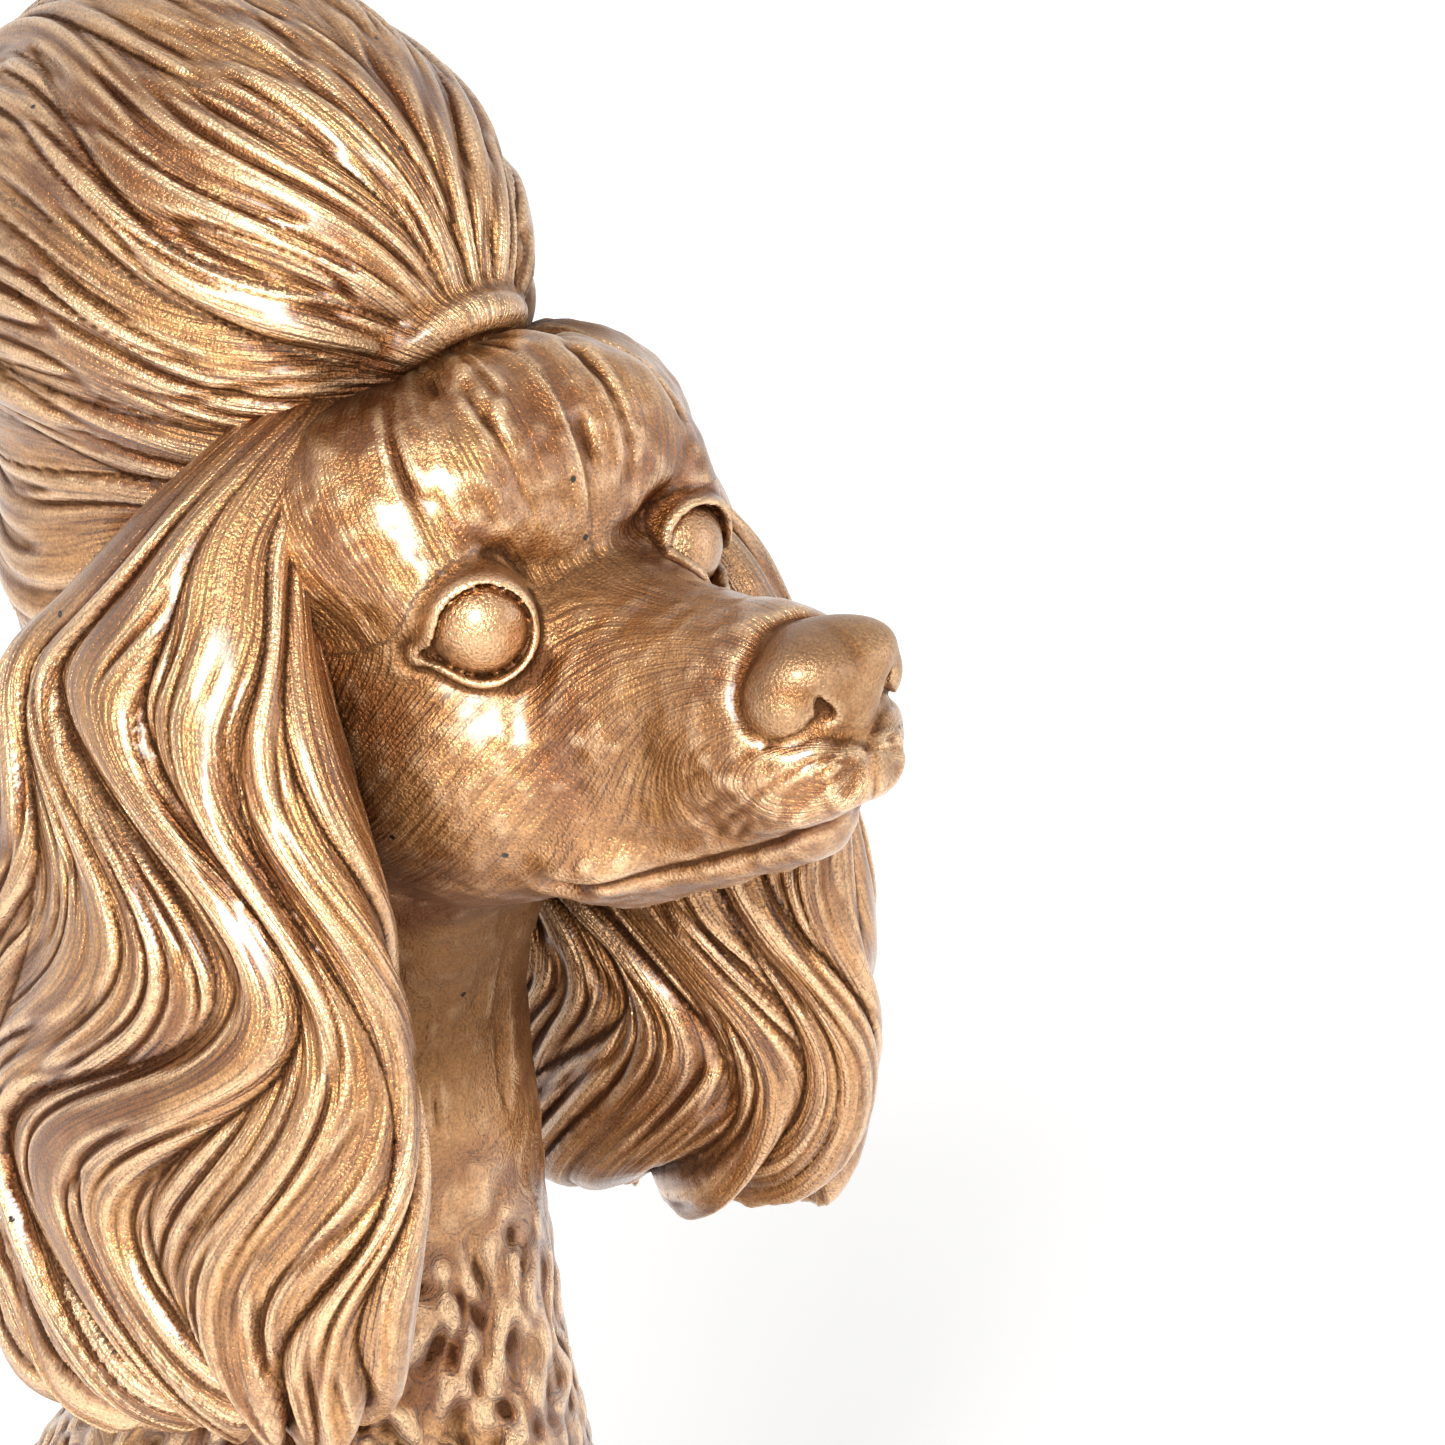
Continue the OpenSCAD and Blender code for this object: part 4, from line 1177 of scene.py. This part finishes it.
foreleg_piece("left_foreleg", 1, 81)
foreleg_piece("right_foreleg", -1, 82)
hind_leg_piece("left_hind_leg", 1, 83)
hind_leg_piece("right_hind_leg", -1, 84)

# %% [markdown]
# The tail is a shaved stem that leans back and carries a ball of curls. A limb and a ball with hardly
# any softness between them keep the step where the clippers stopped.

# %% Tail
TAIL_ROOT = np.array([0.0, 53.2, 26.0])
TAIL_LEAN = math.radians(24)
TAIL_AIM = np.array([0.0, math.sin(TAIL_LEAN), math.cos(TAIL_LEAN)])
STEM = 30.0
BALL_R = 14
BALL_CENTRE = TAIL_ROOT + (STEM + 10.1) * TAIL_AIM


def tail_field(p):
    d = limb(p, TAIL_ROOT, TAIL_ROOT + STEM * TAIL_AIM, 5.0, 4.2)
    return join(d, ellipsoid(p, BALL_CENTRE, (BALL_R, BALL_R, BALL_R)), 1.0)


def tail_detail(points, normals):
    height, strands = coat(points, 91)
    on_ball = ease(16, 14.6, np.linalg.norm(points - BALL_CENTRE, axis=1))
    strands[:, 2] *= on_ball
    return normals * (height * on_ball)[:, None], strands, np.zeros_like(on_ball)


make_piece("tail", "tail", tail_field, (-17, 45, 18), (17, 88, 80), 0.5, tail_detail)

# %% [markdown]
# ## Stage, light and camera
# The photograph was taken against white. The floor is a sheet of pale paper that keeps the shadow. It
# glows a little, and more so far from the dog, so that its far edge is as white as the world behind
# it and no horizon shows.

# %% Stage
FLOOR_HALF = 3.0

corners = [(-FLOOR_HALF, -FLOOR_HALF, 0), (FLOOR_HALF, -FLOOR_HALF, 0),
           (FLOOR_HALF, FLOOR_HALF, 0), (-FLOOR_HALF, FLOOR_HALF, 0)]
floor_mesh = bpy.data.meshes.new("floor")
floor_mesh.from_pydata(corners, [], [(0, 1, 2, 3)])
floor = bpy.data.objects.new("floor", floor_mesh)
bpy.context.scene.collection.objects.link(floor)
paper, tree, sheet = new_material("paper")
sheet.inputs["Base Color"].default_value = colour("#F4F3F1")
sheet.inputs["Roughness"].default_value = 0.9
sheet.inputs["Emission Color"].default_value = colour("#FFFFFF")
spread = add(tree, "ShaderNodeTexCoord").outputs["Object"]
away = add(tree, "ShaderNodeVectorMath", {0: spread}, operation="LENGTH")
glow = add(tree, "ShaderNodeMapRange", {"Value": away.outputs["Value"]},
           {"From Min": 0.3, "From Max": 1.2, "To Min": 0.45, "To Max": 0.68})
tree.links.new(glow.outputs["Result"], sheet.inputs["Emission Strength"])
floor_mesh.materials.append(paper)
print("Floor is", 2 * FLOOR_HALF, "m wide")

# %% [markdown]
# The light is one large soft lamp from the upper left and a weak one from the right. The world is
# white to the camera and in reflections, which is what a gold surface in a white studio mirrors, and
# dimmer as a source of light, so that the hollows stay dark.

# %% Light
WORLD_LIGHT = 0.35

world = bpy.data.worlds.new("studio")
bpy.context.scene.world = world
world.use_nodes = True
tree = world.node_tree
tree.nodes.clear()
path = add(tree, "ShaderNodeLightPath")
seen = add(tree, "ShaderNodeMath", {0: path.outputs["Is Camera Ray"], 1: path.outputs["Is Glossy Ray"]},
           operation="MAXIMUM")
shown = add(tree, "ShaderNodeMath", {0: seen.outputs[0], 1: path.outputs["Is Transmission Ray"]},
            operation="MAXIMUM")
dim = add(tree, "ShaderNodeBackground", inputs={"Color": colour("#FFFFFF"), "Strength": WORLD_LIGHT})
white = add(tree, "ShaderNodeBackground", inputs={"Color": colour("#FFFFFF"), "Strength": 1.0})
either = add(tree, "ShaderNodeMixShader", {0: shown.outputs[0], 1: dim.outputs[0], 2: white.outputs[0]})
add(tree, "ShaderNodeOutputWorld", {"Surface": either.outputs[0]})


def softbox(name, place, target, size, power):
    lamp = bpy.data.lights.new(name, "AREA")
    lamp.shape = "SQUARE"
    lamp.size = size
    lamp.energy = power
    holder = bpy.data.objects.new(name, lamp)
    holder.location = place
    way = mathutils.Vector(target) - mathutils.Vector(place)
    holder.rotation_euler = way.to_track_quat("-Z", "Y").to_euler()
    bpy.context.scene.collection.objects.link(holder)
    print(f"{name}: {power} W at {way.length:.2f} m")


softbox("key", (-0.75, -0.55, 0.75), (0, -0.03, 0.17), 0.35, 20)
softbox("fill", (0.7, -0.9, 0.4), (0, -0.03, 0.15), 0.6, 3)
bpy.context.scene.view_settings.view_transform = "Standard"

# %% [markdown]
# The camera stands 46 degrees round to the dog's right and 22 degrees above it. At 13 pixels per
# millimetre the photograph's frame is about 11 cm wide at the head. The point between the eyes has a
# known place in the frame, and the camera is moved sideways until it falls there.

# %% Camera
AZIMUTH = math.radians(-46)
ELEVATION = math.radians(22)
DISTANCE = 0.650
PHOTO_SIDE = 1445
PIXELS_PER_MM = 13
EYES_PIXEL = (575, 582)
SENSOR = 36

level = math.cos(ELEVATION)
back = mathutils.Vector((math.sin(AZIMUTH) * level, -math.cos(AZIMUTH) * level, math.sin(ELEVATION)))
right = mathutils.Vector((math.cos(AZIMUTH), math.sin(AZIMUTH), 0))
rise = back.cross(right)
eyes = mathutils.Vector(at(0, 0) * MM)
off_x, off_y = ((PHOTO_SIDE / 2 - pixel) / PIXELS_PER_MM * MM for pixel in EYES_PIXEL)
aim = eyes + right * off_x - rise * off_y
lens = bpy.data.cameras.new("camera")
lens.sensor_width = SENSOR
lens.sensor_fit = "HORIZONTAL"
lens.lens = SENSOR * DISTANCE / (PHOTO_SIDE / PIXELS_PER_MM * MM)
camera = bpy.data.objects.new("camera", lens)
camera.location = aim + back * DISTANCE
camera.rotation_euler = back.to_track_quat("Z", "Y").to_euler()
bpy.context.scene.collection.objects.link(camera)
bpy.context.scene.camera = camera
print("Focal length", round(lens.lens, 1), "mm")
